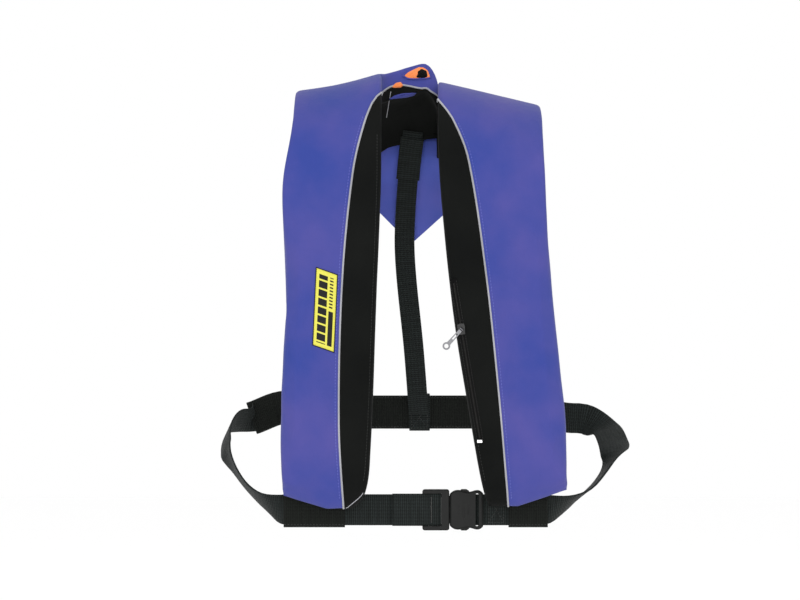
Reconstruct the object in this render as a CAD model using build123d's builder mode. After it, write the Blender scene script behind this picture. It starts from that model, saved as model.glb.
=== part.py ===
"""Inflatable life jacket: a folded horseshoe bladder in a fabric cover, with a waist belt and a back strap.

Millimetres. +Z is up, the jacket's front faces -Y, and the origin is in the middle of the neck opening,
where the wearer's neck carries the jacket. Left and right are as seen from the front.
"""
from build123d import *
from math import atan, cos, radians, sin, sqrt
import os

# The yoke: two front lobes that bend over the shoulders into the back panel.
PACK_THICK = 36.0
FABRIC = 3.0
CHEST_Y = -95.0
BACK_Y = 55.0
CREST_Y = (CHEST_Y + BACK_Y) / 2
ARCH_R = (BACK_Y - CHEST_Y) / 2
HALF = PACK_THICK / 2
FRONT_Y = CHEST_Y - HALF
LINING_Y = CHEST_Y + HALF
GAP = 0.3
BOTTOM_Z = -474.0
TOP_Z = 95.0
BACK_HEM_Z = -36.0
FLAP_APEX = (-7.0, -152.0)
SHOULDER_BACK_Z = -8.0

# Blocks that cut right through the yoke reach this far, and up and down to these heights.
CUT_DEEP = 150.0
ABOVE_ALL = 150.0
BELOW_ALL = -600.0

# Each side of the yoke: where its crest is, how it falls to the arm, and its edges from bottom to top.
LEFT = {
    "crest_at": (-148.0, 32.0),
    "slope": 0.2125,
    "span": (-210.0, 27.0),
    "arm": [(-163.5, -460), (-166, -400), (-159, -207), (-163.5, -88), (-148, 32)],
    "piping": [(-89, -475), (-95, -370), (-91, -200), (-78, -67), (-65, -10), (-52.5, 22)],
    "neck": [(-84, -472), (-63, -452), (-56.5, -400), (-50, -240), (-44, -88), (-43.5, -44)],
}
RIGHT = {
    "crest_at": (151.0, 14.0),
    "slope": -0.237,
    "span": (27.0, 230.0),
    "arm": [(183, -456), (177, -346), (162, -185), (153, -40), (151, 14)],
    "piping": [(111.5, -474), (98, -323), (83, -185), (62, -50), (43.5, -2), (28, 20)],
    "neck": [(91, -472), (81, -448), (67, -380), (45, -246), (30, -106), (25.5, -24)],
}
PIPING_R = 1.6

# The neck opening in plan.
NECK_X = -9.0
NECK_HALF = 34.5
NECK_BACK_Y = 8.0
RIM_Z = 34.0

# Where the bladder shows in the neck's rim, and the pieces that join the two sides behind the neck.
PEEK_LOW = (-15.0, -12.0, 48.0)
PEEK_HIGH = (2.0, 14.0, 57.0)
JOIN_LOW = (26.0, 36.2, -36.0)
JOIN_HIGH = (29.0, 39.0, -32.6)
BRIDGE_LOW = (24.0, 44.0, -20.0)
BRIDGE_HIGH = (31.0, 56.0, -10.0)

# Room in the folded bladder for the inflator, the gas cylinder, the oral tube and the whistle.
POCKET_FRONT = -107.6
POCKETS = [
    ((-145, POCKET_FRONT, -462), (-66, -70, -396)),
    ((-141, POCKET_FRONT, -397), (-109, -70, -274)),
    ((112, POCKET_FRONT, -336), (140, -70, -160)),
    ((114, POCKET_FRONT, -428), (138, -70, -372)),
]

# The waist belt: a loop on edge that is lower in front than behind.
WEBBING = 38.0
WEB_THICK = 2.4
BELT_FRONT_Y = -68.0
BELT_BACK_Y = 95.0
BELT_FRONT_Z = -478.5
BELT_BACK_Z = -359.0
BELT_STRAIGHT = (-160.0, 165.0)
BELT_RISE = (-64.0, 70.0)
BELT_SIDE_Y = 15.0
BELT_LEFT_X = -238.0
BELT_RIGHT_X = 254.0
BELT_BOX_LOW = (-300.0, -130.0, BELOW_ALL)
BELT_BOX_HIGH = (300.0, 130.0, -300.0)
BEHIND_Y = 60.0
SLEEVE_END_LEFT = -186.0
SLEEVE_END_RIGHT = 190.0
SLEEVE_THICK = 6.0
SLEEVE_TALL = 42.0
LOBE_SLEEVES = [("belt_sleeve_left", (-163.0, -88.0)), ("belt_sleeve_right", (112.0, 160.0))]
LOBE_SLEEVE_WALL = 1.6

# The back strap, from the inside of the collar down to its loop round the belt.
STRAP = 25.0
STRAP_TOP = (30.5, -12.0)
STRAP_FOOT = (87.4, -366.0)
STRAP_LINE = [(-4, -10), (-10, -60), (-15, -140), (-13, -190), (-3.5, -283), (4, -380)]
STRAP_LOOP_X = (-9.0, 17.0)

# Inside the left lobe: the inflator, its gas cylinder and its lever.
INFLATOR_X = -125.0
INFLATOR_Y = -94.0
INFLATOR_TOP = -402.0
INFLATOR_SIZE = (26.0, 22.0, 38.0)
CYLINDER_R = 13.0
CYLINDER_LONG = 118.0
CYLINDER_NECK_R = 6.0
THREAD_FIT = 0.08
CAP_R = 11.0
CAP_HIGH = 13.0
LEVER_X = -107.0
LEVER_Z = -408.0
LEVER_LONG = 40.0
PIN_R = 1.5
PIN_FIT = 0.08

# Inside the right lobe: the oral inflation tube and the whistle.
TUBE_X = 126.0
TUBE_R = 6.0
TUBE_BORE_R = 4.0
TUBE_FOOT_Z = -332.0
TUBE_TOP_Z = -212.0
MOUTH_R = 7.5
MOUTH_HIGH = 18.0
VALVE_R = 3.6
VALVE_TRAVEL = 3.0
TUBE_CAP_R = 10.0
WHISTLE_LOW = (119.0, -99.0, -422.0)
WHISTLE_HIGH = (133.0, -89.0, -378.0)

# Trim on the front.
LABEL_AT = (-111.5, -232.0)
LABEL_SIZE = (27.0, 95.0)
LABEL_LEAN = -2.6
LABEL_THICK = 0.8

# The side-release buckle: where its halves meet, and its sizes.
BUCKLE_X = 40.0
BUCKLE_DEEP = 13.0
BUCKLE_TALL = 48.0
FEMALE_LONG = 41.0
MALE_LONG = 33.0
SOCKET_EDGE = [(0, 19), (12, 24), (24.5, 22), (33, 24), (FEMALE_LONG, 20)]
CAVITY_DEEP = 8.0
CAVITY_TALL = 40.0
CAVITY_LONG = 29.0
WINDOW = (11.5, 24.5)
PRONG_ROOT_Z = 14.0
PRONG_ROOT_R = 3.0
LADDER_BAR = (19.0, 25.0)
LADDER_SLOT = 5.0
LOOP_LAYER = 2.0
LOOP_REACH = -30.0

# The zip on the right gusset.
ZIP_START = (53.7, -257.4)
ZIP_LEAN = 0.168
ZIP_UP = 62.0
ZIP_DOWN = 138.0
COIL_HALF = 1.2
COIL_Y = FRONT_Y - 1.9
PULL_LONG = 32.0
PULL_TURN = 42.0
PULL_Y = FRONT_Y - GAP - 6.7


def save(part, label):
    part.label = label
    export_step(part, f"parts/{label}.step")


def crest_z(side, x):
    """Height of the outside of the arch where it is highest, at this x."""
    at_x, at_z = side["crest_at"]
    return at_z + side["slope"] * (x - at_x)


def arch_y(side, x, z, out=HALF):
    """The y of the front of the arch at this x and height, at this distance outside its middle."""
    centre_z = crest_z(side, x) - ARCH_R - HALF
    if z <= centre_z:
        return CHEST_Y - out
    return CREST_Y - sqrt(max((ARCH_R + out) ** 2 - (z - centre_z) ** 2, 0.0))


def arch_layer(side, outer, inner):
    """A layer of the yoke, between two distances from its middle surface, over one side's whole width."""
    start, end = side["span"]
    if side is RIGHT:
        start = start + GAP
    centre_z = crest_z(side, start) - ARCH_R - HALF
    low = BOTTOM_Z - 60
    with BuildPart() as layer:
        with BuildSketch(Plane.YZ.offset(start)):
            with BuildLine():
                Line((CHEST_Y - outer, low), (CHEST_Y - outer, centre_z))
                ThreePointArc(
                    (CHEST_Y - outer, centre_z),
                    (CREST_Y, centre_z + ARCH_R + outer),
                    (BACK_Y + outer, centre_z),
                )
                Polyline(
                    (BACK_Y + outer, centre_z),
                    (BACK_Y + outer, low),
                    (BACK_Y + inner, low),
                    (BACK_Y + inner, centre_z),
                )
                ThreePointArc(
                    (BACK_Y + inner, centre_z),
                    (CREST_Y, centre_z + ARCH_R + inner),
                    (CHEST_Y - inner, centre_z),
                )
                Polyline(
                    (CHEST_Y - inner, centre_z),
                    (CHEST_Y - inner, low),
                    (CHEST_Y - outer, low),
                )
            make_face()
        long = (end - start) * sqrt(1 + side["slope"] ** 2)
        extrude(amount=long, dir=(1, 0, side["slope"]))
    return layer.part


def shifted(points, by):
    return [(x + by, z) for x, z in points]


def front_outline(side, inset=0.0, seam=GAP / 2):
    """All that is within a front lobe's outline, seen from the front, ahead of the shoulder seam."""
    arm_sign = -1 if side is LEFT else 1
    arm = shifted(side["arm"], -arm_sign * inset)
    neck = shifted(side["neck"], arm_sign * inset)
    arm[0] = (arm[0][0], arm[0][1] + inset)
    neck[0] = (neck[0][0], neck[0][1] + inset)
    with BuildPart() as outline:
        with BuildSketch(Plane.XZ.offset(-CREST_Y + seam)):
            with BuildLine():
                Spline(*arm)
                Polyline(arm[-1], (arm[-1][0], TOP_Z), (neck[-1][0], TOP_Z), neck[-1])
                Spline(*reversed(neck))
                Line(neck[0], arm[0])
            make_face()
        extrude(amount=CUT_DEEP)
    return outline.part


def back_outline(side, inset=0.0, seam=GAP / 2):
    """All that is within the padded back panel's outline, behind the shoulder seam."""
    arm_x = side["arm"][-1][0]
    inward = 1 if side is LEFT else -1
    drop = (SHOULDER_BACK_Z - BACK_HEM_Z) / (SHOULDER_BACK_Z - FLAP_APEX[1])
    hem_x = arm_x + (FLAP_APEX[0] - arm_x) * drop
    join_x = LEFT["span"][1]
    with BuildPart() as outline:
        with BuildSketch(Plane.XZ.offset(-CREST_Y - seam)):
            with BuildLine():
                Polyline(
                    (arm_x + inward * inset, TOP_Z),
                    (arm_x + inward * inset, SHOULDER_BACK_Z + inset),
                    (hem_x, BACK_HEM_Z + inset),
                    (join_x, BACK_HEM_Z + inset),
                    (join_x, TOP_Z),
                    close=True,
                )
            make_face()
        extrude(amount=-CUT_DEEP)
    return outline.part


def neck_opening(wider=0.0, low=BELOW_ALL, high=ABOVE_ALL):
    """The neck opening as a straight-sided hole, open to the front."""
    half = NECK_HALF + wider
    with BuildPart() as hole:
        with BuildSketch(Plane.XY.offset(low)):
            with Locations((NECK_X, NECK_BACK_Y - NECK_HALF)):
                Circle(half)
                Rectangle(2 * half, 200, align=(Align.CENTER, Align.MAX))
        extrude(amount=high - low)
    return hole.part


def pack(side, outline, outer, inner, wider):
    """One part of the yoke between two surfaces, within its outline and outside the neck opening."""
    with BuildPart() as body:
        add(arch_layer(side, outer, inner))
        add(outline, mode=Mode.INTERSECT)
        add(neck_opening(wider), mode=Mode.SUBTRACT)
    return body.part


def shell(side, outline, inner_outline):
    """The hollow fabric case of one part of the yoke, without its lining."""
    with BuildPart() as case:
        add(pack(side, outline, HALF, -HALF + FABRIC + GAP, 0))
        add(pack(side, inner_outline, HALF - FABRIC, -HALF, FABRIC), mode=Mode.SUBTRACT)
    return case.part


def inside_piping(side, clearance):
    """The front of the yoke on the neck side of the piping line, as a block."""
    arm_sign = -1 if side is LEFT else 1
    line = shifted(side["piping"], -arm_sign * clearance)
    line[0] = (line[0][0], BOTTOM_Z - 20)
    rim_x = NECK_X + arm_sign * (NECK_HALF - 10)
    with BuildPart() as inside:
        with BuildSketch(Plane.XZ.offset(-CREST_Y + GAP / 2)):
            with BuildLine():
                Spline(*line)
                Polyline(line[-1], (rim_x, line[-1][1] + 9), (rim_x, line[0][1]), line[0])
            make_face()
        extrude(amount=CUT_DEEP)
    return inside.part


def piping_path(side):
    """Points of the piping: up the front of the lobe, over the shoulder and round the neck's rim."""
    arm_sign = -1 if side is LEFT else 1
    reach = NECK_HALF - PIPING_R - 0.4
    turn_y = NECK_BACK_Y - NECK_HALF
    points = [(x, arch_y(side, x, z) - 0.4, z) for x, z in side["piping"]]
    rim_x = NECK_X + arm_sign * reach
    top_z = points[-1][2] + 10
    points.append((rim_x, arch_y(side, rim_x, top_z) + 2, top_z))
    points.append((rim_x, turn_y, top_z + 4))
    for turn in (35, 80):
        across = arm_sign * reach * cos(radians(turn))
        points.append((NECK_X + across, turn_y + reach * sin(radians(turn)), top_z + 5))
    return points


def piping(side, radius):
    with BuildPart() as cord:
        with BuildLine() as path:
            Spline(*piping_path(side))
        with BuildSketch(Plane(origin=path.line @ 0, z_dir=path.line % 0)):
            Circle(radius)
        sweep()
    return cord.part


def block(low, high):
    """A box from its lowest corner to its highest."""
    size = [b - a for a, b in zip(low, high)]
    with BuildPart() as box:
        with Locations(low):
            Box(*size, align=(Align.MIN, Align.MIN, Align.MIN))
    return box.part


def cover_front(side):
    with BuildPart() as cover:
        add(shell(side, front_outline(side), front_outline(side, FABRIC)))
        add(inside_piping(side, 0), mode=Mode.SUBTRACT)
        add(piping(side, PIPING_R + 0.2), mode=Mode.SUBTRACT)
    return cover.part


def gusset(side):
    with BuildPart() as wing:
        add(shell(side, front_outline(side), front_outline(side, FABRIC)))
        add(inside_piping(side, GAP), mode=Mode.INTERSECT)
        add(piping(side, PIPING_R + 0.2), mode=Mode.SUBTRACT)
    return wing.part


def front_lining(side):
    return pack(side, front_outline(side), -HALF + FABRIC, -HALF, 0)


def below_rim(high):
    """The wall round the neck opening, up to this height."""
    with BuildPart() as ring:
        add(neck_opening(FABRIC, high=high))
        add(neck_opening(-GAP, high=high + 1), mode=Mode.SUBTRACT)
    return ring.part


def cover_back(side):
    with BuildPart() as cover:
        add(shell(side, back_outline(side), back_outline(side, FABRIC)))
        add(below_rim(RIM_Z), mode=Mode.SUBTRACT)
        if side is LEFT:
            add(block(PEEK_LOW, PEEK_HIGH), mode=Mode.SUBTRACT)
    return cover.part


def collar_lining():
    """The black inside of the back panel, with the lower part of the wall round the neck."""
    with BuildPart() as lining:
        for side in (LEFT, RIGHT):
            add(shell(side, back_outline(side), back_outline(side, FABRIC)))
        add(below_rim(RIM_Z - GAP), mode=Mode.INTERSECT)
        for side in (LEFT, RIGHT):
            add(pack(side, back_outline(side), -HALF + FABRIC + GAP, -HALF, 0))
        add(block(JOIN_LOW, JOIN_HIGH))
    return lining.part


def back_flap():
    """The flat fabric flap that hangs from the back panel and comes to a point on the spine."""
    hem = BACK_HEM_Z - GAP
    fall = SHOULDER_BACK_Z - FLAP_APEX[1]
    lean = [(side["arm"][-1][0] - FLAP_APEX[0]) / fall for side in (LEFT, RIGHT)]
    corners = [FLAP_APEX[0] + slope * (hem - FLAP_APEX[1]) for slope in lean]
    with BuildPart() as flap:
        with BuildSketch(Plane.XZ.offset(-(BACK_Y + HALF) + 0.2)):
            with BuildLine():
                Polyline((corners[0], hem), FLAP_APEX, (corners[1], hem), close=True)
            make_face()
            fillet(vertices().group_by(Axis.Y)[0], radius=4)
        extrude(amount=2.4)
    return flap.part


def bladder():
    """The welded horseshoe bladder, folded up small, with room left for the parts fixed to it."""
    slack = FABRIC + 1.5
    with BuildPart() as body:
        for side in (LEFT, RIGHT):
            add(pack(side, front_outline(side, slack, 0), HALF - slack, -HALF + slack, slack))
            add(pack(side, back_outline(side, slack, 0), HALF - slack, -HALF + slack, slack))
        add(block(BRIDGE_LOW, BRIDGE_HIGH))
        for low, high in POCKETS:
            add(block(low, high), mode=Mode.SUBTRACT)
    return body.part


def belt_loop(out):
    """The face inside the waist belt's loop in plan, taken this far out from the webbing's middle."""
    front_y = BELT_FRONT_Y - out
    back_y = BELT_BACK_Y + out
    left_end = (SLEEVE_END_LEFT + 20, back_y)
    right_end = (SLEEVE_END_RIGHT - 20, back_y)
    with BuildSketch(Plane.XY.offset(BOTTOM_Z - 60)) as loop:
        with BuildLine():
            Line((BELT_STRAIGHT[1], front_y), (BELT_STRAIGHT[0], front_y))
            Spline(
                (BELT_STRAIGHT[0], front_y),
                (BELT_LEFT_X - out, BELT_SIDE_Y),
                left_end,
                tangents=[(-1, 0), (1, 0)],
            )
            Line(left_end, right_end)
            Spline(
                right_end,
                (BELT_RIGHT_X + out, BELT_SIDE_Y),
                (BELT_STRAIGHT[1], front_y),
                tangents=[(1, 0), (-1, 0)],
            )
        make_face()
    return loop.sketch


def belt_slope(tall):
    """All that is within the belt's height, which rises from the front to the back."""
    with BuildPart() as slope:
        with BuildSketch(Plane.YZ.offset(BELT_BOX_LOW[0])):
            with BuildLine():
                Line((BELT_BOX_LOW[1], BELT_FRONT_Z), (BELT_RISE[0], BELT_FRONT_Z))
                Spline(
                    (BELT_RISE[0], BELT_FRONT_Z),
                    (BELT_RISE[1], BELT_BACK_Z),
                    tangents=[(1, 0.4), (1, 0)],
                )
                Line((BELT_RISE[1], BELT_BACK_Z), (BELT_BOX_HIGH[1], BELT_BACK_Z))
            trace(line_width=tall)
        extrude(amount=BELT_BOX_HIGH[0] - BELT_BOX_LOW[0])
    return slope.part


def belt_run(thick, tall, x_span, y_span):
    """A length of the waist belt's loop, standing on edge, between these limits in x and in y."""
    low = (x_span[0], y_span[0], BELT_BOX_LOW[2])
    high = (x_span[1], y_span[1], BELT_BOX_HIGH[2])
    with BuildPart() as run:
        extrude(belt_loop(thick / 2), amount=BELT_BOX_HIGH[0])
        extrude(belt_loop(-thick / 2), amount=BELT_BOX_HIGH[0], mode=Mode.SUBTRACT)
        add(belt_slope(tall), mode=Mode.INTERSECT)
        add(block(low, high), mode=Mode.INTERSECT)
    return run.part


def belt(side):
    """The webbing of one side, from the end of the back sleeve round to the buckle."""
    if side is LEFT:
        front_span = (BELT_BOX_LOW[0], LOOP_REACH + 4)
        back_span = (BELT_BOX_LOW[0], SLEEVE_END_LEFT - GAP)
    else:
        front_span = (BUCKLE_X + FEMALE_LONG - 4, BELT_BOX_HIGH[0])
        back_span = (SLEEVE_END_RIGHT + GAP, BELT_BOX_HIGH[0])
    with BuildPart() as web:
        add(belt_run(WEB_THICK, WEBBING, front_span, (BELT_BOX_LOW[1], BEHIND_Y)))
        add(belt_run(WEB_THICK, WEBBING, back_span, (BEHIND_Y, BELT_BOX_HIGH[1])))
    return web.part


def back_sleeve():
    """The padded sleeve of the belt across the wearer's back."""
    sleeve_span = (SLEEVE_END_LEFT, SLEEVE_END_RIGHT)
    return belt_run(SLEEVE_THICK, SLEEVE_TALL, sleeve_span, (BEHIND_Y, BELT_BOX_HIGH[1]))


def lobe_sleeve(span):
    """The flat fabric tube on the back of a lobe that the belt runs through."""
    room = WEB_THICK + 1.2
    height = WEBBING + 2
    wall = LOBE_SLEEVE_WALL
    front_half = (BELT_BOX_LOW[1], 0)
    with BuildPart() as sleeve:
        add(belt_run(room + 2 * wall, height + 2 * wall, span, front_half))
        add(belt_run(room, height, span, front_half), mode=Mode.SUBTRACT)
    return sleeve.part


def strap_line(width, thick, low_z, high_z, ahead=0.0):
    """A length of the back strap: its path from the front within its path from the side."""
    with BuildPart() as strap:
        with BuildSketch(Plane.XZ):
            with BuildLine():
                Spline(*STRAP_LINE)
            trace(line_width=width)
        extrude(amount=-CUT_DEEP)
        with BuildSketch(Plane.YZ):
            with BuildLine():
                Line(
                    (STRAP_TOP[0] - ahead, STRAP_TOP[1]),
                    (STRAP_FOOT[0] - ahead, STRAP_FOOT[1]),
                )
            trace(line_width=thick)
        extrude(amount=CUT_DEEP, both=True, mode=Mode.INTERSECT)
        add(block((-CUT_DEEP, 0, low_z), (CUT_DEEP, CUT_DEEP, high_z)), mode=Mode.INTERSECT)
    return strap.part


def strap_loop():
    """The loop at the foot of the back strap, round the back sleeve of the belt."""
    wall = 2.0
    deep = SLEEVE_THICK / 2 + GAP
    high = SLEEVE_TALL / 2 + GAP
    with BuildPart() as loop:
        with BuildSketch(Plane.YZ.offset(STRAP_LOOP_X[0])):
            with Locations((BELT_BACK_Y, BELT_BACK_Z)):
                RectangleRounded(2 * (deep + wall), 2 * (high + wall), 2.5)
                Rectangle(2 * deep, 2 * high, mode=Mode.SUBTRACT)
        extrude(amount=STRAP_LOOP_X[1] - STRAP_LOOP_X[0])
    return loop.part


def buckle_plane():
    """The buckle's middle plane, seen from the front: X along the belt from the joint, Y up."""
    return Plane(origin=(BUCKLE_X, BELT_FRONT_Y, BELT_FRONT_Z), x_dir=(1, 0, 0), z_dir=(0, -1, 0))


def buckle_female():
    """The socket half: a waisted case with a window above and below for the prongs' catches."""
    lower_edge = [(x, -z) for x, z in SOCKET_EDGE]
    from_left = (Align.MIN, Align.CENTER)
    webbing_room = (6, WEB_THICK + 2 * GAP, WEBBING + 2 * GAP)
    with BuildPart() as socket:
        with BuildSketch(buckle_plane()):
            with BuildLine():
                Spline(*SOCKET_EDGE)
                Line(SOCKET_EDGE[-1], lower_edge[-1])
                Spline(*lower_edge)
                Line(lower_edge[0], SOCKET_EDGE[0])
            make_face()
            fillet(vertices(), radius=3)
        extrude(amount=BUCKLE_DEEP / 2, both=True)
        fillet(edges().filter_by(Plane.XZ), radius=2.5)
        with BuildSketch(buckle_plane()):
            with Locations((-1, 0)):
                Rectangle(CAVITY_LONG + 1, CAVITY_TALL, align=from_left)
            with Locations((WINDOW[0], 0)):
                Rectangle(WINDOW[1] - WINDOW[0], 2 * BUCKLE_TALL, align=from_left)
        extrude(amount=CAVITY_DEEP / 2, both=True, mode=Mode.SUBTRACT)
        with BuildSketch(buckle_plane()):
            with Locations((FEMALE_LONG - 7.5, 0)):
                SlotOverall(WEBBING + 2.5, 4, rotation=90)
        extrude(amount=BUCKLE_DEEP, both=True, mode=Mode.SUBTRACT)
        with BuildSketch(buckle_plane().offset(BUCKLE_DEEP / 2)):
            with Locations((17, 0)):
                SlotOverall(20, 3, rotation=90)
            with Locations((11, 0), (23, 0)):
                SlotOverall(12, 2, rotation=90)
        extrude(amount=-0.8, mode=Mode.SUBTRACT)
        with Locations((BUCKLE_X + FEMALE_LONG - 2, BELT_FRONT_Y, BELT_FRONT_Z)):
            Box(*webbing_room, mode=Mode.SUBTRACT)
    return socket.part


def buckle_male():
    """The plug half: a ladder that the webbing turns round, a collar, and the guide between the prongs."""
    half = BUCKLE_TALL / 2
    with BuildPart() as plug:
        with BuildSketch(buckle_plane()):
            with Locations((-0.4, 0)):
                RectangleRounded(MALE_LONG, BUCKLE_TALL + 2, 3, align=(Align.MAX, Align.CENTER))
        extrude(amount=BUCKLE_DEEP / 2, both=True)
        fillet(edges().filter_by(Plane.XZ), radius=1.5)
        for start in (LADDER_BAR[0] - LADDER_SLOT, LADDER_BAR[1]):
            with BuildSketch(buckle_plane()):
                with Locations((start - BUCKLE_X, 0)):
                    Rectangle(LADDER_SLOT, WEBBING + 2, align=(Align.MIN, Align.CENTER))
            extrude(amount=BUCKLE_DEEP, both=True, mode=Mode.SUBTRACT)
        for side in (-1, 1):
            with BuildSketch(buckle_plane().offset(side * BUCKLE_DEEP / 2)):
                with Locations((-BUCKLE_X, 0)):
                    Rectangle(LADDER_BAR[1] + 1, WEBBING + 2, align=(Align.MIN, Align.CENTER))
            extrude(amount=-side * 4.2, mode=Mode.SUBTRACT)
        with BuildSketch(buckle_plane()):
            with Locations((-1, 0)):
                Rectangle(CAVITY_LONG - 5, 7, align=(Align.MIN, Align.CENTER))
        extrude(amount=CAVITY_DEEP / 2 - 0.6, both=True)
        with BuildSketch(buckle_plane()):
            with Locations((-1.5, PRONG_ROOT_Z), (-1.5, -PRONG_ROOT_Z)):
                Circle(PRONG_ROOT_R + PIN_FIT)
            for side in (-1, 1):
                with Locations((-1.5, side * PRONG_ROOT_Z)):
                    Rectangle(4, 2 * PRONG_ROOT_R + 1.6, align=(Align.MIN, Align.CENTER))
        extrude(amount=CAVITY_DEEP / 2 - 0.2, both=True, mode=Mode.SUBTRACT)
    return plug.part


def prong(side):
    """A springy prong of the plug, with a round root and a catch that fills the socket's window."""
    catch_top = BUCKLE_TALL / 2 + 1.2
    arm_top = CAVITY_TALL / 2 - 0.6
    with BuildPart() as arm:
        with BuildSketch(buckle_plane()):
            with Locations((-1.5, side * PRONG_ROOT_Z)):
                Circle(PRONG_ROOT_R)
            with BuildLine():
                Polyline(
                    (-1.5, side * (PRONG_ROOT_Z - 2)),
                    (22, side * (arm_top - 6.5)),
                    (25.5, side * (arm_top - 3.5)),
                    (WINDOW[1] - 0.4, side * (arm_top + 0.3)),
                    (WINDOW[1] - 0.8, side * (catch_top - 2)),
                    (WINDOW[1] - 4, side * catch_top),
                    (WINDOW[0] + 3, side * catch_top),
                    (WINDOW[0] + 0.5, side * (catch_top - 2)),
                    (WINDOW[0] + 0.5, side * (arm_top - 0.6)),
                    (-1.5, side * (PRONG_ROOT_Z + 2)),
                    close=True,
                )
            make_face()
        extrude(amount=CAVITY_DEEP / 2 - 0.5, both=True)
    return arm.part


def webbing_loop():
    """The end of the webbing, turned back round the plug's ladder bar."""
    bar_middle = BELT_FRONT_Y
    off = CAVITY_DEEP / 2 - 0.6
    right = LADDER_BAR[1] + 2.2
    with BuildPart() as loop:
        with BuildSketch(Plane.XY.offset(BELT_FRONT_Z - WEBBING / 2)):
            with BuildLine():
                Line((LOOP_REACH, bar_middle - off), (right - 2, bar_middle - off))
                ThreePointArc(
                    (right - 2, bar_middle - off),
                    (right, bar_middle),
                    (right - 2, bar_middle + off),
                )
                Line((right - 2, bar_middle + off), (LOOP_REACH, bar_middle + off))
            trace(line_width=LOOP_LAYER)
        extrude(amount=WEBBING)
    return loop.part


def co2_cylinder():
    """The gas cylinder, neck down in the inflator."""
    foot = INFLATOR_TOP + 2
    up = (Align.CENTER, Align.CENTER, Align.MIN)
    with BuildPart() as bottle:
        with Locations((INFLATOR_X, INFLATOR_Y, foot)):
            Cylinder(CYLINDER_R, CYLINDER_LONG, align=up)
        fillet(faces().sort_by(Axis.Z)[-1].edges(), radius=CYLINDER_R - 0.8)
        fillet(faces().sort_by(Axis.Z)[0].edges(), radius=5)
        with Locations((INFLATOR_X, INFLATOR_Y, INFLATOR_TOP - 9)):
            Cylinder(CYLINDER_NECK_R, 14, align=up)
    return bottle.part


def inflator_body():
    """The inflator: a block with the cylinder's threaded socket, and two lugs that carry the lever."""
    wide, deep, tall = INFLATOR_SIZE
    with BuildPart() as body:
        with Locations((INFLATOR_X, INFLATOR_Y, INFLATOR_TOP)):
            Box(wide, deep, tall, align=(Align.CENTER, Align.CENTER, Align.MAX))
        fillet(edges().filter_by(Axis.Z), radius=4)
        chamfer(faces().sort_by(Axis.Z)[-1].edges(), length=1.5)
        with Locations((INFLATOR_X, INFLATOR_Y, INFLATOR_TOP)):
            Cylinder(
                CYLINDER_NECK_R + THREAD_FIT,
                11,
                align=(Align.CENTER, Align.CENTER, Align.MAX),
                mode=Mode.SUBTRACT,
            )
        for side in (-1, 1):
            with Locations((LEVER_X, INFLATOR_Y + side * 6.2, LEVER_Z)):
                Box(14, 3, 9, align=(Align.MAX, Align.CENTER, Align.CENTER))
                Cylinder(4.5, 3, rotation=(90, 0, 0))
        with Locations((LEVER_X, INFLATOR_Y, LEVER_Z)):
            Cylinder(PIN_R, 15.4, rotation=(90, 0, 0))
    return body.part


def inflator_lever():
    """The lever that drives the piercing pin into the cylinder."""
    with BuildPart() as lever:
        with BuildSketch(Plane.XZ.offset(-INFLATOR_Y)):
            with Locations((LEVER_X, LEVER_Z)):
                Circle(3.6)
            with BuildLine():
                Polyline(
                    (LEVER_X - 2.6, LEVER_Z),
                    (LEVER_X + 2.6, LEVER_Z),
                    (LEVER_X + 2.0, LEVER_Z - LEVER_LONG),
                    (LEVER_X - 2.0, LEVER_Z - LEVER_LONG),
                    close=True,
                )
            make_face()
            with Locations((LEVER_X, LEVER_Z)):
                Circle(PIN_R + PIN_FIT, mode=Mode.SUBTRACT)
        extrude(amount=4.3, both=True)
        with Locations((LEVER_X, INFLATOR_Y, LEVER_Z - LEVER_LONG + 4)):
            Cylinder(1.2, 20, rotation=(0, 90, 0), mode=Mode.SUBTRACT)
    return lever.part


def inflator_cap():
    """The screw cap under the inflator that holds the water-sensing capsule, with a ribbed grip."""
    top = INFLATOR_TOP - INFLATOR_SIZE[2] - GAP
    with BuildPart() as cap:
        with Locations((INFLATOR_X, INFLATOR_Y, top)):
            Cylinder(CAP_R, CAP_HIGH, align=(Align.CENTER, Align.CENTER, Align.MAX))
        fillet(faces().sort_by(Axis.Z)[0].edges(), radius=2)
        with BuildSketch(Plane.XY.offset(top)):
            with Locations((INFLATOR_X, INFLATOR_Y)):
                with PolarLocations(CAP_R, 18):
                    Circle(0.7)
        extrude(amount=-CAP_HIGH, mode=Mode.SUBTRACT)
    return cap.part


def oral_tube():
    """The tube for topping up by mouth, with its welded foot and its mouthpiece."""
    with BuildPart() as tube:
        with Locations((TUBE_X, INFLATOR_Y, TUBE_FOOT_Z)):
            Cylinder(11, 2.5, align=(Align.CENTER, Align.CENTER, Align.MIN))
            Cylinder(TUBE_R, TUBE_TOP_Z - TUBE_FOOT_Z, align=(Align.CENTER, Align.CENTER, Align.MIN))
        with Locations((TUBE_X, INFLATOR_Y, TUBE_TOP_Z)):
            Cylinder(MOUTH_R, MOUTH_HIGH, align=(Align.CENTER, Align.CENTER, Align.MIN))
            with Locations((0, 0, 3)):
                Cylinder(MOUTH_R + 1.2, 2, align=(Align.CENTER, Align.CENTER, Align.MIN))
        with Locations((TUBE_X, INFLATOR_Y, TUBE_FOOT_Z)):
            Cylinder(
                TUBE_BORE_R,
                TUBE_TOP_Z - TUBE_FOOT_Z + MOUTH_HIGH,
                align=(Align.CENTER, Align.CENTER, Align.MIN),
                mode=Mode.SUBTRACT,
            )
    return tube.part


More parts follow.
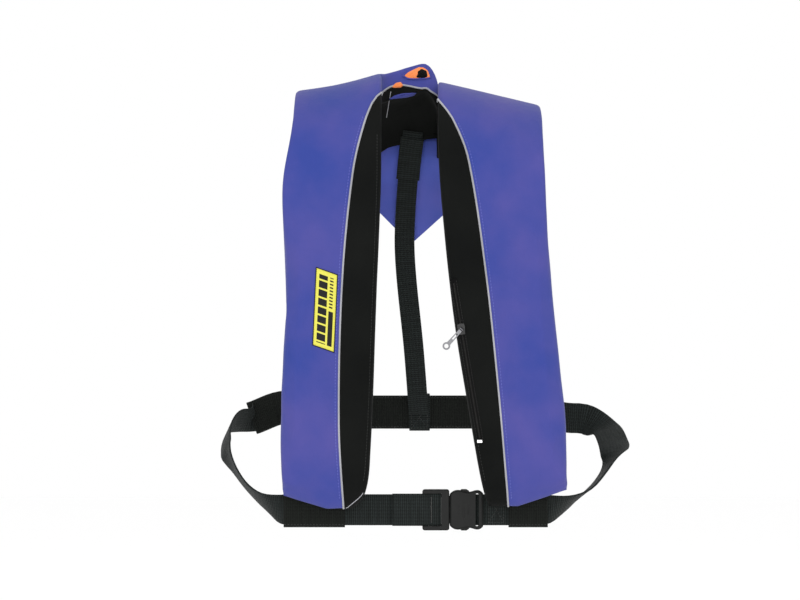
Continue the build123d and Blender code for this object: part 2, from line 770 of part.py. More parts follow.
def oral_valve():
    """The sprung poppet in the mouthpiece, which is pushed in to let air out."""
    with BuildPart() as valve:
        with Locations((TUBE_X, INFLATOR_Y, TUBE_TOP_Z + MOUTH_HIGH - VALVE_TRAVEL - 1)):
            Cylinder(VALVE_R, 3, align=(Align.CENTER, Align.CENTER, Align.MAX))
            Cylinder(1.4, 3.5, align=(Align.CENTER, Align.CENTER, Align.MIN))
            with Locations((0, 0, -3)):
                Cylinder(1.4, 9, align=(Align.CENTER, Align.CENTER, Align.MAX))
    return valve.part


def oral_cap():
    """The dust cap over the mouthpiece."""
    foot = TUBE_TOP_Z + 5.5
    with BuildPart() as cap:
        with Locations((TUBE_X, INFLATOR_Y, foot)):
            Cylinder(TUBE_CAP_R, MOUTH_HIGH, align=(Align.CENTER, Align.CENTER, Align.MIN))
        fillet(faces().sort_by(Axis.Z)[-1].edges(), radius=2)
        with Locations((TUBE_X, INFLATOR_Y, foot)):
            Cylinder(
                MOUTH_R + 0.35,
                MOUTH_HIGH - 3,
                align=(Align.CENTER, Align.CENTER, Align.MIN),
                mode=Mode.SUBTRACT,
            )
    return cap.part


def whistle():
    """The flat pea-less whistle."""
    long = WHISTLE_HIGH[2] - WHISTLE_LOW[2]
    with BuildPart() as body:
        add(block(WHISTLE_LOW, WHISTLE_HIGH))
        fillet(body.edges().filter_by(Axis.Z), radius=3)
        with Locations((TUBE_X, INFLATOR_Y, WHISTLE_HIGH[2])):
            Box(8, 3, long - 12, align=(Align.CENTER, Align.CENTER, Align.MAX), mode=Mode.SUBTRACT)
        with Locations((TUBE_X, INFLATOR_Y, WHISTLE_HIGH[2] - 16)):
            Box(7, 20, 4, mode=Mode.SUBTRACT)
        with Locations((TUBE_X, INFLATOR_Y, WHISTLE_LOW[2] + 5)):
            Cylinder(1.8, 30, rotation=(90, 0, 0), mode=Mode.SUBTRACT)
    return body.part


def zip_plane(y):
    """A plane along the zip at this depth, facing out of the jacket, with Y up the zip."""
    lean = atan(ZIP_LEAN)
    origin = (ZIP_START[0], y, ZIP_START[1])
    return Plane(origin=origin, x_dir=(cos(lean), 0, sin(lean)), z_dir=(0, -1, 0))


def zip_tape():
    """The zip's tape with its closed coil of teeth."""
    back = FRONT_Y - GAP
    middle = (ZIP_UP - ZIP_DOWN) / 2
    with BuildPart() as tape:
        with BuildSketch(zip_plane(back)):
            with Locations((0, middle)):
                Rectangle(9, ZIP_UP + ZIP_DOWN)
        extrude(amount=0.8)
        with BuildSketch(zip_plane(back - 0.8)):
            with Locations((0, middle)):
                Rectangle(2 * COIL_HALF, ZIP_UP + ZIP_DOWN - 6)
        extrude(amount=1.0)
    return tape.part


def zip_stop():
    """The crimped metal stop at the foot of the zip."""
    with BuildPart() as stop:
        with BuildSketch(zip_plane(FRONT_Y - GAP - 2.1)):
            with Locations((0, -ZIP_DOWN + 6)):
                RectangleRounded(6, 3.6, 1)
        extrude(amount=1.2)
    return stop.part


def zip_slider():
    """The slider: a plate over the coil, two flanges beside it, and a bridge for the pull."""
    plate_y = FRONT_Y - GAP - 2.2
    top_y = plate_y - 2
    with BuildPart() as slider:
        with BuildSketch(zip_plane(plate_y)):
            with BuildLine():
                Polyline((-3, -6.5), (3, -6.5), (4.6, 2), (4.2, 6), (1, 6.8))
                Polyline((1, 6.8), (-1, 6.8), (-4.2, 6), (-4.6, 2), (-3, -6.5))
            make_face()
        extrude(amount=2)
        with BuildSketch(zip_plane(plate_y)):
            with Locations((-3, 0), (3, 0)):
                Rectangle(1.4, 10)
        extrude(amount=-0.9)
        with BuildSketch(pull_plane(top_y)):
            with Locations((-3.4, 0), (3.4, 0)):
                Rectangle(1.3, 2.4)
        extrude(amount=top_y - PULL_Y + 0.9)
        with BuildSketch(pull_plane(PULL_Y)):
            Rectangle(8.0, 1.2)
        extrude(amount=0.6, both=True)
    return slider.part


def pull_plane(y):
    """The plane of the zip pull at this depth, with X along its hinge bar and the tab along -Y."""
    turn = radians(PULL_TURN)
    origin = (ZIP_START[0], y, ZIP_START[1])
    return Plane(origin=origin, x_dir=(cos(turn), 0, -sin(turn)), z_dir=(0, -1, 0))


def zip_pull():
    """The pull: an eye round the slider's bar, a flat tab, and a ring at its end."""
    with BuildPart() as pull:
        with BuildSketch(pull_plane(PULL_Y)):
            with BuildLine():
                Polyline((-2, 0), (2, 0), (2.6, -PULL_LONG + 8), (-2.6, -PULL_LONG + 8), close=True)
            make_face()
            with Locations((0, -PULL_LONG + 4.7)):
                Circle(4.7)
                Circle(2.6, mode=Mode.SUBTRACT)
            with Locations((0, -12)):
                SlotOverall(9, 1.8, rotation=90, mode=Mode.SUBTRACT)
        extrude(amount=0.8, both=True)
        eye = Plane(origin=pull_plane(PULL_Y).origin, z_dir=pull_plane(PULL_Y).x_dir)
        with BuildSketch(eye):
            Circle(2.0)
        extrude(amount=2.4, both=True)
        with BuildSketch(eye):
            Circle(1.0)
        extrude(amount=3, both=True, mode=Mode.SUBTRACT)
    return pull.part


def label_patch():
    """The sewn-on label."""
    with BuildPart() as label:
        with BuildSketch(Plane.XZ.offset(-FRONT_Y + GAP)):
            with Locations(LABEL_AT):
                RectangleRounded(*LABEL_SIZE, 1.5, rotation=LABEL_LEAN)
        extrude(amount=LABEL_THICK)
    return label.part


def closure_pad():
    """The hook-and-loop pad that closes the cover at the back of the neck."""
    with BuildPart() as pad:
        add(neck_opening(-GAP))
        add(neck_opening(-GAP - 1.2), mode=Mode.SUBTRACT)
        add(block((3, -20, 44), (15, 20, 56)), mode=Mode.INTERSECT)
    return pad.part


def reflective_patches():
    """Two reflective patches on the bladder, one in each lobe."""
    with BuildPart() as patches:
        for x in (-125, 120):
            with BuildSketch(Plane.XZ.offset(-FRONT_Y - 4.2)):
                with Locations((x, -150)):
                    Rectangle(44, 90)
            extrude(amount=0.5)
    return patches.part


os.makedirs("parts", exist_ok=True)

save(cover_front(LEFT), "cover_front_left")
save(cover_front(RIGHT), "cover_front_right")
save(cover_back(LEFT), "cover_back_left")
save(cover_back(RIGHT), "cover_back_right")
save(gusset(LEFT), "gusset_left")
save(gusset(RIGHT), "gusset_right")
save(front_lining(LEFT), "lining_left")
save(front_lining(RIGHT), "lining_right")
save(collar_lining(), "collar_lining")
save(back_flap(), "back_flap")
save(piping(LEFT, PIPING_R), "piping_left")
save(piping(RIGHT, PIPING_R), "piping_right")
save(label_patch(), "label_patch")
save(closure_pad(), "closure_pad")

save(bladder(), "bladder")
save(reflective_patches(), "reflective_patches")
save(co2_cylinder(), "co2_cylinder")
save(inflator_body(), "inflator_body")
save(inflator_lever(), "inflator_lever")
save(inflator_cap(), "inflator_cap")
save(oral_tube(), "oral_tube")
save(oral_valve(), "oral_valve")
save(oral_cap(), "oral_cap")
save(whistle(), "whistle")

save(belt(LEFT), "belt_left")
save(belt(RIGHT), "belt_right")
save(back_sleeve(), "belt_back_sleeve")
for sleeve_name, sleeve_span in LOBE_SLEEVES:
    save(lobe_sleeve(sleeve_span), sleeve_name)
save(strap_line(STRAP, 2.2, -366, -12), "back_strap")
save(strap_line(STRAP + 4, 1.8, -72, -20, ahead=2.4), "strap_patch")
save(strap_loop(), "back_strap_loop")

save(buckle_female(), "buckle_female")
save(buckle_male(), "buckle_male")
save(prong(1), "buckle_prong_top")
save(prong(-1), "buckle_prong_bottom")
save(webbing_loop(), "webbing_loop")

save(zip_tape(), "zip_tape")
save(zip_stop(), "zip_stop")
save(zip_slider(), "zip_slider")
save(zip_pull(), "zip_pull")
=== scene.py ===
"""Looks of the inflatable life jacket, in the CAD's frame: cloth, webbing, trim, light and camera."""
import bpy
from math import cos, hypot, pi, radians, sin, sqrt
from mathutils import Matrix, Vector, noise
from mathutils.bvhtree import BVHTree


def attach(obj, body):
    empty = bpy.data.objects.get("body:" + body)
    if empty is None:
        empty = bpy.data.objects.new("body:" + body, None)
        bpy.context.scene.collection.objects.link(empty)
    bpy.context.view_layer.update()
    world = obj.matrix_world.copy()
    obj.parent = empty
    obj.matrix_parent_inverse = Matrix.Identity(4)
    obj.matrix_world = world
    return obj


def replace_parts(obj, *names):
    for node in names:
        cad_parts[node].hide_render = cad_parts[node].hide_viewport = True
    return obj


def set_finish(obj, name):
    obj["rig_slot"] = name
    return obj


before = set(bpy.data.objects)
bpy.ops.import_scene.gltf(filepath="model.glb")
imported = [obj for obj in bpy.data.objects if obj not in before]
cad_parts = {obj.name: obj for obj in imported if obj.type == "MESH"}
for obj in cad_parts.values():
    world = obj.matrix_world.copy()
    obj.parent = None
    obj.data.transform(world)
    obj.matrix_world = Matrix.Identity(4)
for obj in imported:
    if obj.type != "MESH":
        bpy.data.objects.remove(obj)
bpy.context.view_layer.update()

MM = 0.001
FORWARD = Vector((0, -1, 0))
UP = Vector((0, 0, 1))
TO_RIGHT = Vector((1, 0, 0))

# The yoke, as in the CAD, in millimetres: two lobes in front, an arch over each shoulder, a short back.
CHEST_Y = -95.0
BACK_Y = 55.0
CREST_Y = -20.0
ARCH_R = 75.0
HALF = 18.0
NECK_X = -9.0
NECK_HALF = 34.5
NECK_BACK_Y = 8.0
JOIN_X = 27.0
JOIN_GAP = 0.4
FOOT_Z = -470.0
BACK_HEM_Z = -36.0
BACK_ARM_Z = -52.0
FLAP_APEX = (-7.0, -152.0)
SHOULDER_BACK_Z = -8.0

# Each side's lines as (x, z) points going up: its arm edge, its piping and its neck edge.
LEFT = {
    "name": "left",
    "sign": -1,
    "crest_at": (-149.5, 35.5),
    "slope": 0.2125,
    "arm": [(-163.5, -462), (-166, -400), (-159, -207), (-163.5, -88), (-152, -8), (-149.5, 34)],
    "piping": [(-89, -476), (-95, -370), (-91, -200), (-78, -67), (-65, -10), (-52.5, 22), (-44, 30.5)],
    "neck": [(-84, -475), (-64, -455), (-56.5, -400), (-50, -240), (-44, -88), (-43.5, -44), (-43.5, 60)],
}
RIGHT = {
    "name": "right",
    "sign": 1,
    "crest_at": (153.0, 17.5),
    "slope": -0.237,
    "arm": [(183, -456), (177, -346), (162, -185), (154, -40), (153, 16)],
    "piping": [(111.5, -475), (98, -323), (83, -185), (62, -50), (43.5, -2), (28, 20), (26, 22.6)],
    "neck": [(88, -474), (80, -448), (67, -380), (45, -246), (30, -106), (25.5, -24), (26, 60)],
}

# The collar's peak, the left shoulder's sag, and the heights along the neck of the piping, hem and rise.
PEAK_X, PEAK_FALL = 11.0, 22.0
SAG = 3.0
RIM = [(31, -43.5), (33.8, -42.9), (37, -40), (42, -32.5), (44.5, -20.5), (43, -8.5), (41, 0.5), (39.4, 10)]
RIM += [(36, 18.5), (30.5, 27)]
RIGHT_RIM_Z = 22.8
RIM_LAST = 0.61
COLLAR_HEM = [(-36, -60), (-38.5, -43), (-14, -17), (-13, 60)]
COLLAR_RISE = [(0, -43), (4.5, -23), (7.5, 2), (8, 10), (5, 19), (3, 27)]
HEM_Z = {"left": (-459.5, -475.5), "right": (-452.5, -473.0)}


# ---------------------------------------------------------------- small geometry helpers

def smooth(t):
    t = min(max(t, 0.0), 1.0)
    return t * t * (3 - 2 * t)


def cubic(p, q, m, n, t):
    """The point at t, from 0 to 1, on the curve from p to q that leaves with m and arrives with n."""
    start = (2 * t**3 - 3 * t**2 + 1) * p + (t**3 - 2 * t**2 + t) * m
    return start + (3 * t**2 - 2 * t**3) * q + (t**3 - t**2) * n


def along(points, z):
    """The x of a smooth line through (x, z) points at this z; the points go up."""
    if z <= points[0][1]:
        return points[0][0]
    if z >= points[-1][1]:
        return points[-1][0]
    k = max(i for i in range(len(points) - 1) if points[i][1] <= z)
    x0, z0 = points[k]
    x1, z1 = points[k + 1]

    def slope_at(i):
        low, high = max(i - 1, 0), min(i + 1, len(points) - 1)
        return (points[high][0] - points[low][0]) / (points[high][1] - points[low][1])

    span = z1 - z0
    return cubic(x0, x1, span * slope_at(k), span * slope_at(k + 1), (z - z0) / span)


def quads(rows, columns, closed=False):
    """The faces of a grid of points; a closed grid joins its last column to its first."""
    faces = []
    for r in range(rows - 1):
        for c in range(columns if closed else columns - 1):
            k = (c + 1) % columns
            faces.append((r * columns + c, (r + 1) * columns + c, (r + 1) * columns + k, r * columns + k))
    return faces


def tube_faces(rows, columns):
    """The faces of a closed tube of points, with a cap at each end."""
    last = (rows - 1) * columns
    caps = [tuple(range(columns)), tuple(last + c for c in reversed(range(columns)))]
    return quads(rows, columns, True) + caps


def turned_over(faces):
    return [tuple(reversed(face)) for face in faces]


def mesh_object(name, points, faces, material, slot, smooth_shading=True):
    mesh = bpy.data.meshes.new(name)
    mesh.from_pydata([tuple(p) for p in points], [], faces)
    mesh.update()
    mesh.materials.append(material)
    if smooth_shading:
        mesh.polygons.foreach_set("use_smooth", [True] * len(mesh.polygons))
    obj = bpy.data.objects.new(name, mesh)
    bpy.context.collection.objects.link(obj)
    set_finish(obj, slot)
    return obj


def thicken(obj, thickness, offset):
    body = obj.modifiers.new("thickness", "SOLIDIFY")
    body.thickness = thickness
    body.offset = offset
    return body


def refine(obj):
    finer = obj.modifiers.new("finer", "SUBSURF")
    finer.levels = finer.render_levels = 1
    return finer


def apply_modifiers(obj):
    depsgraph = bpy.context.evaluated_depsgraph_get()
    mesh = bpy.data.meshes.new_from_object(obj.evaluated_get(depsgraph))
    obj.modifiers.clear()
    obj.data = mesh


def add_uv(obj, coordinate):
    """A UV map, in metres, from a function of each loop's vertex index."""
    layer = obj.data.uv_layers.new(name="metres")
    for loop in obj.data.loops:
        layer.data[loop.index].uv = coordinate(loop.vertex_index)


# ---------------------------------------------------------------- materials

def new_material(name):
    material = bpy.data.materials.new(name)
    material.use_nodes = True
    tree = material.node_tree
    return material, tree, tree.nodes["Principled BSDF"]


def node(tree, kind, **values):
    made = tree.nodes.new(kind)
    for key, value in values.items():
        setattr(made, key, value)
    return made


def set_inputs(target, values):
    for name, value in values.items():
        target.inputs[name].default_value = value


def math_node(tree, operation, a, b=None):
    made = node(tree, "ShaderNodeMath", operation=operation)
    for socket, value in zip(made.inputs, (a, b)):
        if value is None:
            continue
        if isinstance(value, (int, float)):
            socket.default_value = value
        else:
            tree.links.new(value, socket)
    return made.outputs[0]


def times(tree, a, b):
    return math_node(tree, "MULTIPLY", a, b)


def plus(tree, a, b):
    return math_node(tree, "ADD", a, b)


def wave_along(tree, value, period):
    return math_node(tree, "SINE", times(tree, value, 2 * pi / period))


def axes_of(tree, place):
    split = node(tree, "ShaderNodeSeparateXYZ")
    tree.links.new(place, split.inputs[0])
    return split.outputs


def colour_mix(tree, factor, first, second):
    made = node(tree, "ShaderNodeMix", data_type="RGBA")
    tree.links.new(factor, made.inputs["Factor"])
    for socket, value in ((made.inputs["A"], first), (made.inputs["B"], second)):
        if isinstance(value, tuple):
            socket.default_value = (*value, 1)
        else:
            tree.links.new(value, socket)
    return made.outputs["Result"]


def noise_node(tree, vector, scale, detail=2.0, roughness=0.5):
    made = node(tree, "ShaderNodeTexNoise")
    set_inputs(made, {"Scale": scale, "Detail": detail, "Roughness": roughness})
    tree.links.new(vector, made.inputs["Vector"])
    return made.outputs["Fac"]


def bump_chain(tree, shader, heights):
    """Bumps one on another: (height socket, distance in metres, strength)."""
    last = None
    for height, distance, strength in heights:
        bump = node(tree, "ShaderNodeBump")
        set_inputs(bump, {"Strength": strength, "Distance": distance})
        tree.links.new(height, bump.inputs["Height"])
        if last is not None:
            tree.links.new(last, bump.inputs["Normal"])
        last = bump.outputs["Normal"]
    tree.links.new(last, shader.inputs["Normal"])


def woven(name, light, dark, weave_mm=0.9, roughness=0.8, sheen=0.3, wave=0.5, gloss=0.3):
    """Plain-woven cloth: a fine weave, soft mottling, a little sheen, and slack ripples."""
    material, tree, shader = new_material(name)
    place = node(tree, "ShaderNodeTexCoord").outputs["Object"]
    mottle = noise_node(tree, place, 13.0, 3.0)
    speckle = noise_node(tree, place, 900.0, 1.0)
    mottled = plus(tree, times(tree, mottle, 2.2), times(tree, speckle, 0.25))
    tone = math_node(tree, "SUBTRACT", mottled, 0.75)
    tree.links.new(colour_mix(tree, tone, dark, light), shader.inputs["Base Color"])
    axes = axes_of(tree, place)
    threads = [wave_along(tree, axes[axis], weave_mm * MM) for axis in ("X", "Z")]
    weave = times(tree, threads[0], threads[1])
    set_inputs(shader, {"Roughness": roughness, "Specular IOR Level": gloss})
    set_inputs(shader, {"Sheen Weight": sheen, "Sheen Roughness": 0.5})
    ripples = noise_node(tree, place, 26.0, 3.0, 0.55)
    bump_chain(tree, shader, [(ripples, 0.004, wave), (weave, 0.0002, 0.35)])
    return material


def webbing(name, base, rib_highlight, rib_mm=2.6):
    """Ribbed webbing with a painted highlight on its ribs; UV runs across and along the strap, in metres."""
    material, tree, shader = new_material(name)
    coordinate = node(tree, "ShaderNodeTexCoord")
    axes = axes_of(tree, coordinate.outputs["UV"])
    across = wave_along(tree, axes["X"], 4.2 * MM)
    ribs = wave_along(tree, axes["Y"], rib_mm * MM)
    height = plus(tree, times(tree, ribs, 0.6), times(tree, across, 0.2))
    stretch = node(tree, "ShaderNodeMapping")
    set_inputs(stretch, {"Scale": (30.0, 260.0, 1.0)})
    tree.links.new(coordinate.outputs["UV"], stretch.inputs["Vector"])
    streak = noise_node(tree, stretch.outputs[0], 1.0, 2.0)
    # Painted highlight: the rib crests are coloured towards the highlight colour, broken up by streaks along
    # the strap.
    lit = plus(tree, times(tree, height, 0.5), 0.35)
    tone = times(tree, lit, times(tree, streak, 1.7))
    tree.links.new(colour_mix(tree, tone, base, rib_highlight), shader.inputs["Base Color"])
    set_inputs(shader, {"Roughness": 0.62, "Specular IOR Level": 0.12, "Sheen Weight": 0.02})
    grain = noise_node(tree, coordinate.outputs["Object"], 700.0)
    bump_chain(tree, shader, [(height, 0.0006, 0.8), (grain, 0.0003, 0.3)])
    return material


def moulded(name, base, roughness=0.45, grain=0.25, metal=0.0, coat=0.0, gloss=0.5):
    """Moulded plastic or metal with a fine grain and scuffs."""
    material, tree, shader = new_material(name)
    place = node(tree, "ShaderNodeTexCoord").outputs["Object"]
    scuff = noise_node(tree, place, 60.0, 4.0, 0.7)
    lighter = tuple(min(c * 1.7 + 0.01, 1.0) for c in base)
    tree.links.new(colour_mix(tree, times(tree, scuff, 0.5), base, lighter), shader.inputs["Base Color"])
    rough = plus(tree, times(tree, scuff, 0.25), roughness - 0.12)
    tree.links.new(rough, shader.inputs["Roughness"])
    set_inputs(shader, {"Metallic": metal, "Specular IOR Level": gloss, "Coat Weight": coat})
    bump_chain(tree, shader, [(noise_node(tree, place, 1800.0, 2.0), 0.0001, grain)])
    return material


def striped_label(name):
    """Yellow woven label with a black border and plain black blocks and bars where a name would be."""
    material, tree, shader = new_material(name)
    coordinate = node(tree, "ShaderNodeTexCoord")
    across, up, _ = axes_of(tree, coordinate.outputs["UV"])

    def within(value, low, high):
        over = math_node(tree, "GREATER_THAN", value, low)
        return both(over, math_node(tree, "LESS_THAN", value, high))

    def both(a, b):
        return times(tree, a, b)

    def either(a, b):
        return math_node(tree, "MAXIMUM", a, b)

    def stripes(value, count, share):
        return math_node(tree, "GREATER_THAN", wave_along(tree, value, 1 / count), share)

    blocks = both(within(across, 0.17, 0.56), both(within(up, 0.06, 0.93), stripes(up, 9.0, -0.8)))
    bar = both(within(across, 0.65, 0.86), within(up, 0.06, 0.5))
    dashes = both(within(across, 0.66, 0.82), both(within(up, 0.53, 0.93), stripes(up, 24.0, 0.1)))
    field = both(within(across, 0.035, 0.965), within(up, 0.012, 0.988))
    border = math_node(tree, "SUBTRACT", 1.0, field)
    black = either(either(blocks, bar), either(dashes, border))
    yellow, ink = (0.56, 0.53, 0.075), (0.006, 0.006, 0.006)
    tree.links.new(colour_mix(tree, black, yellow, ink), shader.inputs["Base Color"])
    set_inputs(shader, {"Roughness": 0.55, "Specular IOR Level": 0.15})
    grain = noise_node(tree, coordinate.outputs["Object"], 1500.0)
    bump_chain(tree, shader, [(black, 0.0002, 0.4), (grain, 0.0002, 0.3)])
    return material


BLUE = woven(
    "blue cloth", (0.067, 0.062, 0.248), (0.028, 0.046, 0.232), sheen=0.10, gloss=0.10
)
# Painted light: a lighter copy of the blue cloth for the back flap, which hangs in the yoke's shade.
BLUE_PAINTED_LIGHTER = woven(
    "blue cloth painted lighter against shade", (0.115, 0.125, 0.48), (0.062, 0.100, 0.44), sheen=0.10, gloss=0.10
)
BLACK = woven(
    "black cloth", (0.0055, 0.006, 0.0055), (0.003, 0.0034, 0.0032), sheen=0.02, wave=0.35, gloss=0.06
)
LINING = woven(
    "black lining", (0.007, 0.0075, 0.007), (0.003, 0.0034, 0.003), weave_mm=1.6, sheen=0.03, gloss=0.06
)
PIPING = woven(
    "silver piping", (0.36, 0.36, 0.39), (0.24, 0.24, 0.26), weave_mm=0.7, roughness=0.5
)
ORANGE = woven(
    "orange bladder", (0.88, 0.27, 0.07), (0.70, 0.16, 0.03), weave_mm=0.6, roughness=0.5, wave=0.8
)
HOOK = woven(
    "hook and loop", (0.006, 0.006, 0.006), (0.002, 0.002, 0.002),
    weave_mm=1.2, wave=0.9, sheen=0.02, gloss=0.06,
)
# The second colour of each webbing is its painted highlight.
WEB = webbing("black webbing", (0.003, 0.004, 0.0035), (0.021, 0.028, 0.027))
SLEEVE = webbing("sleeve webbing", (0.002, 0.0025, 0.002), (0.009, 0.012, 0.009), rib_mm=2.2)
THREAD = woven("black thread", (0.030, 0.032, 0.030), (0.016, 0.017, 0.016), weave_mm=0.5, wave=0.1)
BLUE_THREAD = woven("blue thread", (0.16, 0.17, 0.52), (0.11, 0.12, 0.42), weave_mm=0.5, wave=0.1)
LABEL = striped_label("striped label")
COIL = moulded("zip coil", (0.012, 0.011, 0.010), 0.5, 0.1, gloss=0.2)
ACETAL = moulded("black acetal", (0.0035, 0.0038, 0.0035), 0.46, 0.3, gloss=0.12)
PLASTIC = moulded("black plastic", (0.008, 0.008, 0.008), 0.5, 0.3, gloss=0.2)
YELLOW = moulded("yellow plastic", (0.72, 0.55, 0.03), 0.4, 0.1, coat=0.2)
RED = moulded("red plastic", (0.55, 0.03, 0.02), 0.4, 0.1, coat=0.2)
WHISTLE = moulded("orange plastic", (0.80, 0.22, 0.02), 0.35, 0.1, coat=0.3)
STEEL = moulded("zinc steel", (0.42, 0.43, 0.44), 0.38, 0.3, metal=1.0)
NICKEL = moulded("nickel", (0.50, 0.50, 0.50), 0.28, 0.1, metal=1.0)
DARK_METAL = moulded("black metal", (0.008, 0.008, 0.008), 0.4, 0.2, metal=0.2, gloss=0.25)
GUNMETAL = moulded("gunmetal", (0.055, 0.055, 0.058), 0.3, 0.1, metal=1.0)
SILVER = moulded("reflective tape", (0.45, 0.46, 0.46), 0.35, 0.5)

CAD_FINISH = {
    "reflective_patches": SILVER,
    "co2_cylinder": STEEL,
    "inflator_body": PLASTIC,
    "inflator_lever": YELLOW,
    "inflator_cap": YELLOW,
    "oral_tube": PLASTIC,
    "oral_valve": RED,
    "oral_cap": PLASTIC,
    "whistle": WHISTLE,
    "buckle_female": ACETAL,
    "buckle_male": ACETAL,
    "buckle_prong_top": ACETAL,
    "buckle_prong_bottom": ACETAL,
    "zip_stop": NICKEL,
    "zip_slider": DARK_METAL,
    "zip_pull": GUNMETAL,
}
for name, finish in CAD_FINISH.items():
    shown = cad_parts[name]
    shown.data.materials.clear()
    shown.data.materials.append(finish)


# ---------------------------------------------------------------- the yoke

FRONT_STATIONS = 74
ARCH_STEPS = 34
BACK_STEPS = 6
COVER_COLUMNS = 30
GUSSET_COLUMNS = 14
LINING_COLUMNS = 20
CORNER = 7.0
SHOULDER_CORNER = 1.2


def peak_fall(side, x):
    """How far the left side's crest rounds off past the peak behind the neck."""
    if side is RIGHT:
        return 0.0
    return PEAK_FALL * min(max((x - PEAK_X) / (JOIN_X - PEAK_X), 0.0), 1.0) ** 2


def shoulder_sag(side, x):
    """How far the left shoulder's crest sags between the arm and the neck."""
    arm_x = side["crest_at"][0]
    share = min(max((x - arm_x) / (NECK_X - NECK_HALF - arm_x), 0.0), 1.0)
    return SAG * sin(pi * share) if side is LEFT else 0.0


def crest_z(side, x):
    """The height of the shoulder's crest."""
    at_x, at_z = side["crest_at"]
    return at_z + side["slope"] * (x - at_x) - peak_fall(side, x) - shoulder_sag(side, x)


def meet(line, level_of):
    """The x at which a line of the outline meets a row whose height changes with x."""
    x = line[-1][0]
    for _ in range(10):
        x = along(line, level_of(x))
    return x


def arch_centre(side, x, turn):
    """The height of the arch's middle; behind the neck the collar stands up a little."""
    y = CREST_Y - (ARCH_R + HALF) * cos(turn)
    rise = along(COLLAR_RISE, x) if side is LEFT else 0.0
    level = peak_fall(side, x) * smooth((turn / pi - 0.6) / 0.4)
    return crest_z(side, x) - ARCH_R - HALF + level + rise * smooth((y + 15) / 20) * smooth((70 - y) / 40)


def rim_depth(side, x_neck, turn):
    """How far below the top of the pack's wall the piping runs round the neck."""
    turn = min(turn, pi * RIM_LAST)
    centre = arch_centre(side, x_neck, turn)
    rim_z = along(RIM, x_neck) if side is LEFT else RIGHT_RIM_Z
    return ARCH_R + HALF - (rim_z - centre) / max(sin(turn), 0.3)


def back_arm_x(side, z):
    """The arm edge of the back panel, straight down and then along the flap's diagonal."""
    arm = side["arm"][-1][0]
    if z >= SHOULDER_BACK_Z:
        return arm
    return arm + (FLAP_APEX[0] - arm) * (SHOULDER_BACK_Z - z) / (SHOULDER_BACK_Z - FLAP_APEX[1])


def neck_edge_behind(side, y):
    """The neck edge behind the crest: round the opening, and then at the seam in the middle of the back."""
    if side is RIGHT:
        return JOIN_X + JOIN_GAP
    ahead = y - (NECK_BACK_Y - NECK_HALF)
    if ahead < NECK_HALF:
        return NECK_X - sqrt(max(NECK_HALF**2 - max(ahead, 0) ** 2, 0))
    return NECK_X + (JOIN_X - NECK_X) * min((ahead - NECK_HALF) / 2.5, 1.0)


def stations(side):
    """Every cross-section of one side, front, arch and back, as (stretch, how far along it)."""
    found = [("front", i / FRONT_STATIONS) for i in range(FRONT_STATIONS)]
    found += [("arch", i / ARCH_STEPS) for i in range(ARCH_STEPS + 1)]
    # Finer rows behind the left side's crest, and the finest where its piping ends.
    finer = [0.5 + 0.004 * k for k in range(1, 24)] + [0.594 + 0.0006 * k for k in range(1, 26)]
    found += [("arch", t) for t in finer if side is LEFT]
    found = sorted(set(found), key=lambda s: (s[0] == "arch", s[1]))
    return found + [("back", (i + 1) / BACK_STEPS) for i in range(BACK_STEPS)]


def drawn_in(side, arm, neck, inset):
    """The edges of a row that is narrower by the inset at each end."""
    return arm - side["sign"] * inset, neck + side["sign"] * inset


def front_row(side, t, inset):
    """A row of the hanging front, level low down and sloping with the shoulder at the top."""
    hem_arm, hem_neck = HEM_Z[side["name"]]
    middle = side["arm"][-1][0] * 0.6
    centre = crest_z(side, middle) - ARCH_R - HALF
    base = FOOT_Z + inset + (centre - FOOT_Z - inset) * t
    shear = smooth(t)
    hem = (1 - t) ** 6

    def level(x):
        return base + side["slope"] * (x - middle) * shear

    arm, neck, piping = (meet(side[line], level) for line in ("arm", "neck", "piping"))
    arm, neck = drawn_in(side, arm, neck, inset)

    def spot(x, h):
        across = (x - arm) / (neck - arm)
        z = level(x) + hem * ((hem_arm - FOOT_Z) + (hem_neck - hem_arm) * min(across * 1.6, 1.0))
        return Vector((x, CHEST_Y - h, z))

    row = t * FRONT_STATIONS
    ends = 0.06 + 0.36 * min(row, 1.0) + 0.58 * smooth((row - 1) / 3.5)
    corner = CORNER + (SHOULDER_CORNER - CORNER) * smooth((t - 0.7) / 0.3)
    return {"spot": spot, "arm": arm, "neck": neck, "piping": piping, "ends": ends, "corner": corner}


def arch_row(side, t, inset):
    """A row over the shoulder: as wide as the front's lines, and then as the collar behind the crest."""
    turn = pi * t

    def level(x):
        return crest_z(side, x) - ARCH_R - HALF + (ARCH_R + HALF) * sin(turn)

    if t <= 0.5:
        arm, neck, piping = (meet(side[line], level) for line in ("arm", "neck", "piping"))
    else:
        arm = back_arm_x(side, 0)
        neck = piping = neck_edge_behind(side, CREST_Y - (ARCH_R + HALF) * cos(turn) - inset)
    depth = rim_depth(side, neck, turn)
    arm, neck = drawn_in(side, arm, neck, inset)

    def spot(x, h):
        centre = arch_centre(side, x, turn)
        return Vector((x, CREST_Y - (ARCH_R + h) * cos(turn), centre + (ARCH_R + h) * sin(turn)))

    return {"spot": spot, "arm": arm, "neck": neck, "piping": piping, "depth": depth}


def back_row(side, t, inset):
    """A row of the back panel, down to its hem; the inside follows the collar's own hem."""
    arm = back_arm_x(side, BACK_ARM_Z + (BACK_HEM_Z - BACK_ARM_Z) * t)
    neck = piping = JOIN_X if side is LEFT else JOIN_X + JOIN_GAP
    depth = rim_depth(side, neck, pi)
    arm, neck = drawn_in(side, arm, neck, inset)

    def spot(x, h):
        top = arch_centre(side, x, pi)
        hem = BACK_HEM_Z
        if h < 0:
            hem += (along(COLLAR_HEM, x) - BACK_HEM_Z) * min(-h / (0.1 * HALF), 1.0)
        return Vector((x, BACK_Y + h, top + (hem + inset - top) * t))

    ends = 1.0 - 0.58 * smooth((t - 0.6) / 0.4)
    return {"spot": spot, "arm": arm, "neck": neck, "piping": piping, "depth": depth, "ends": ends}


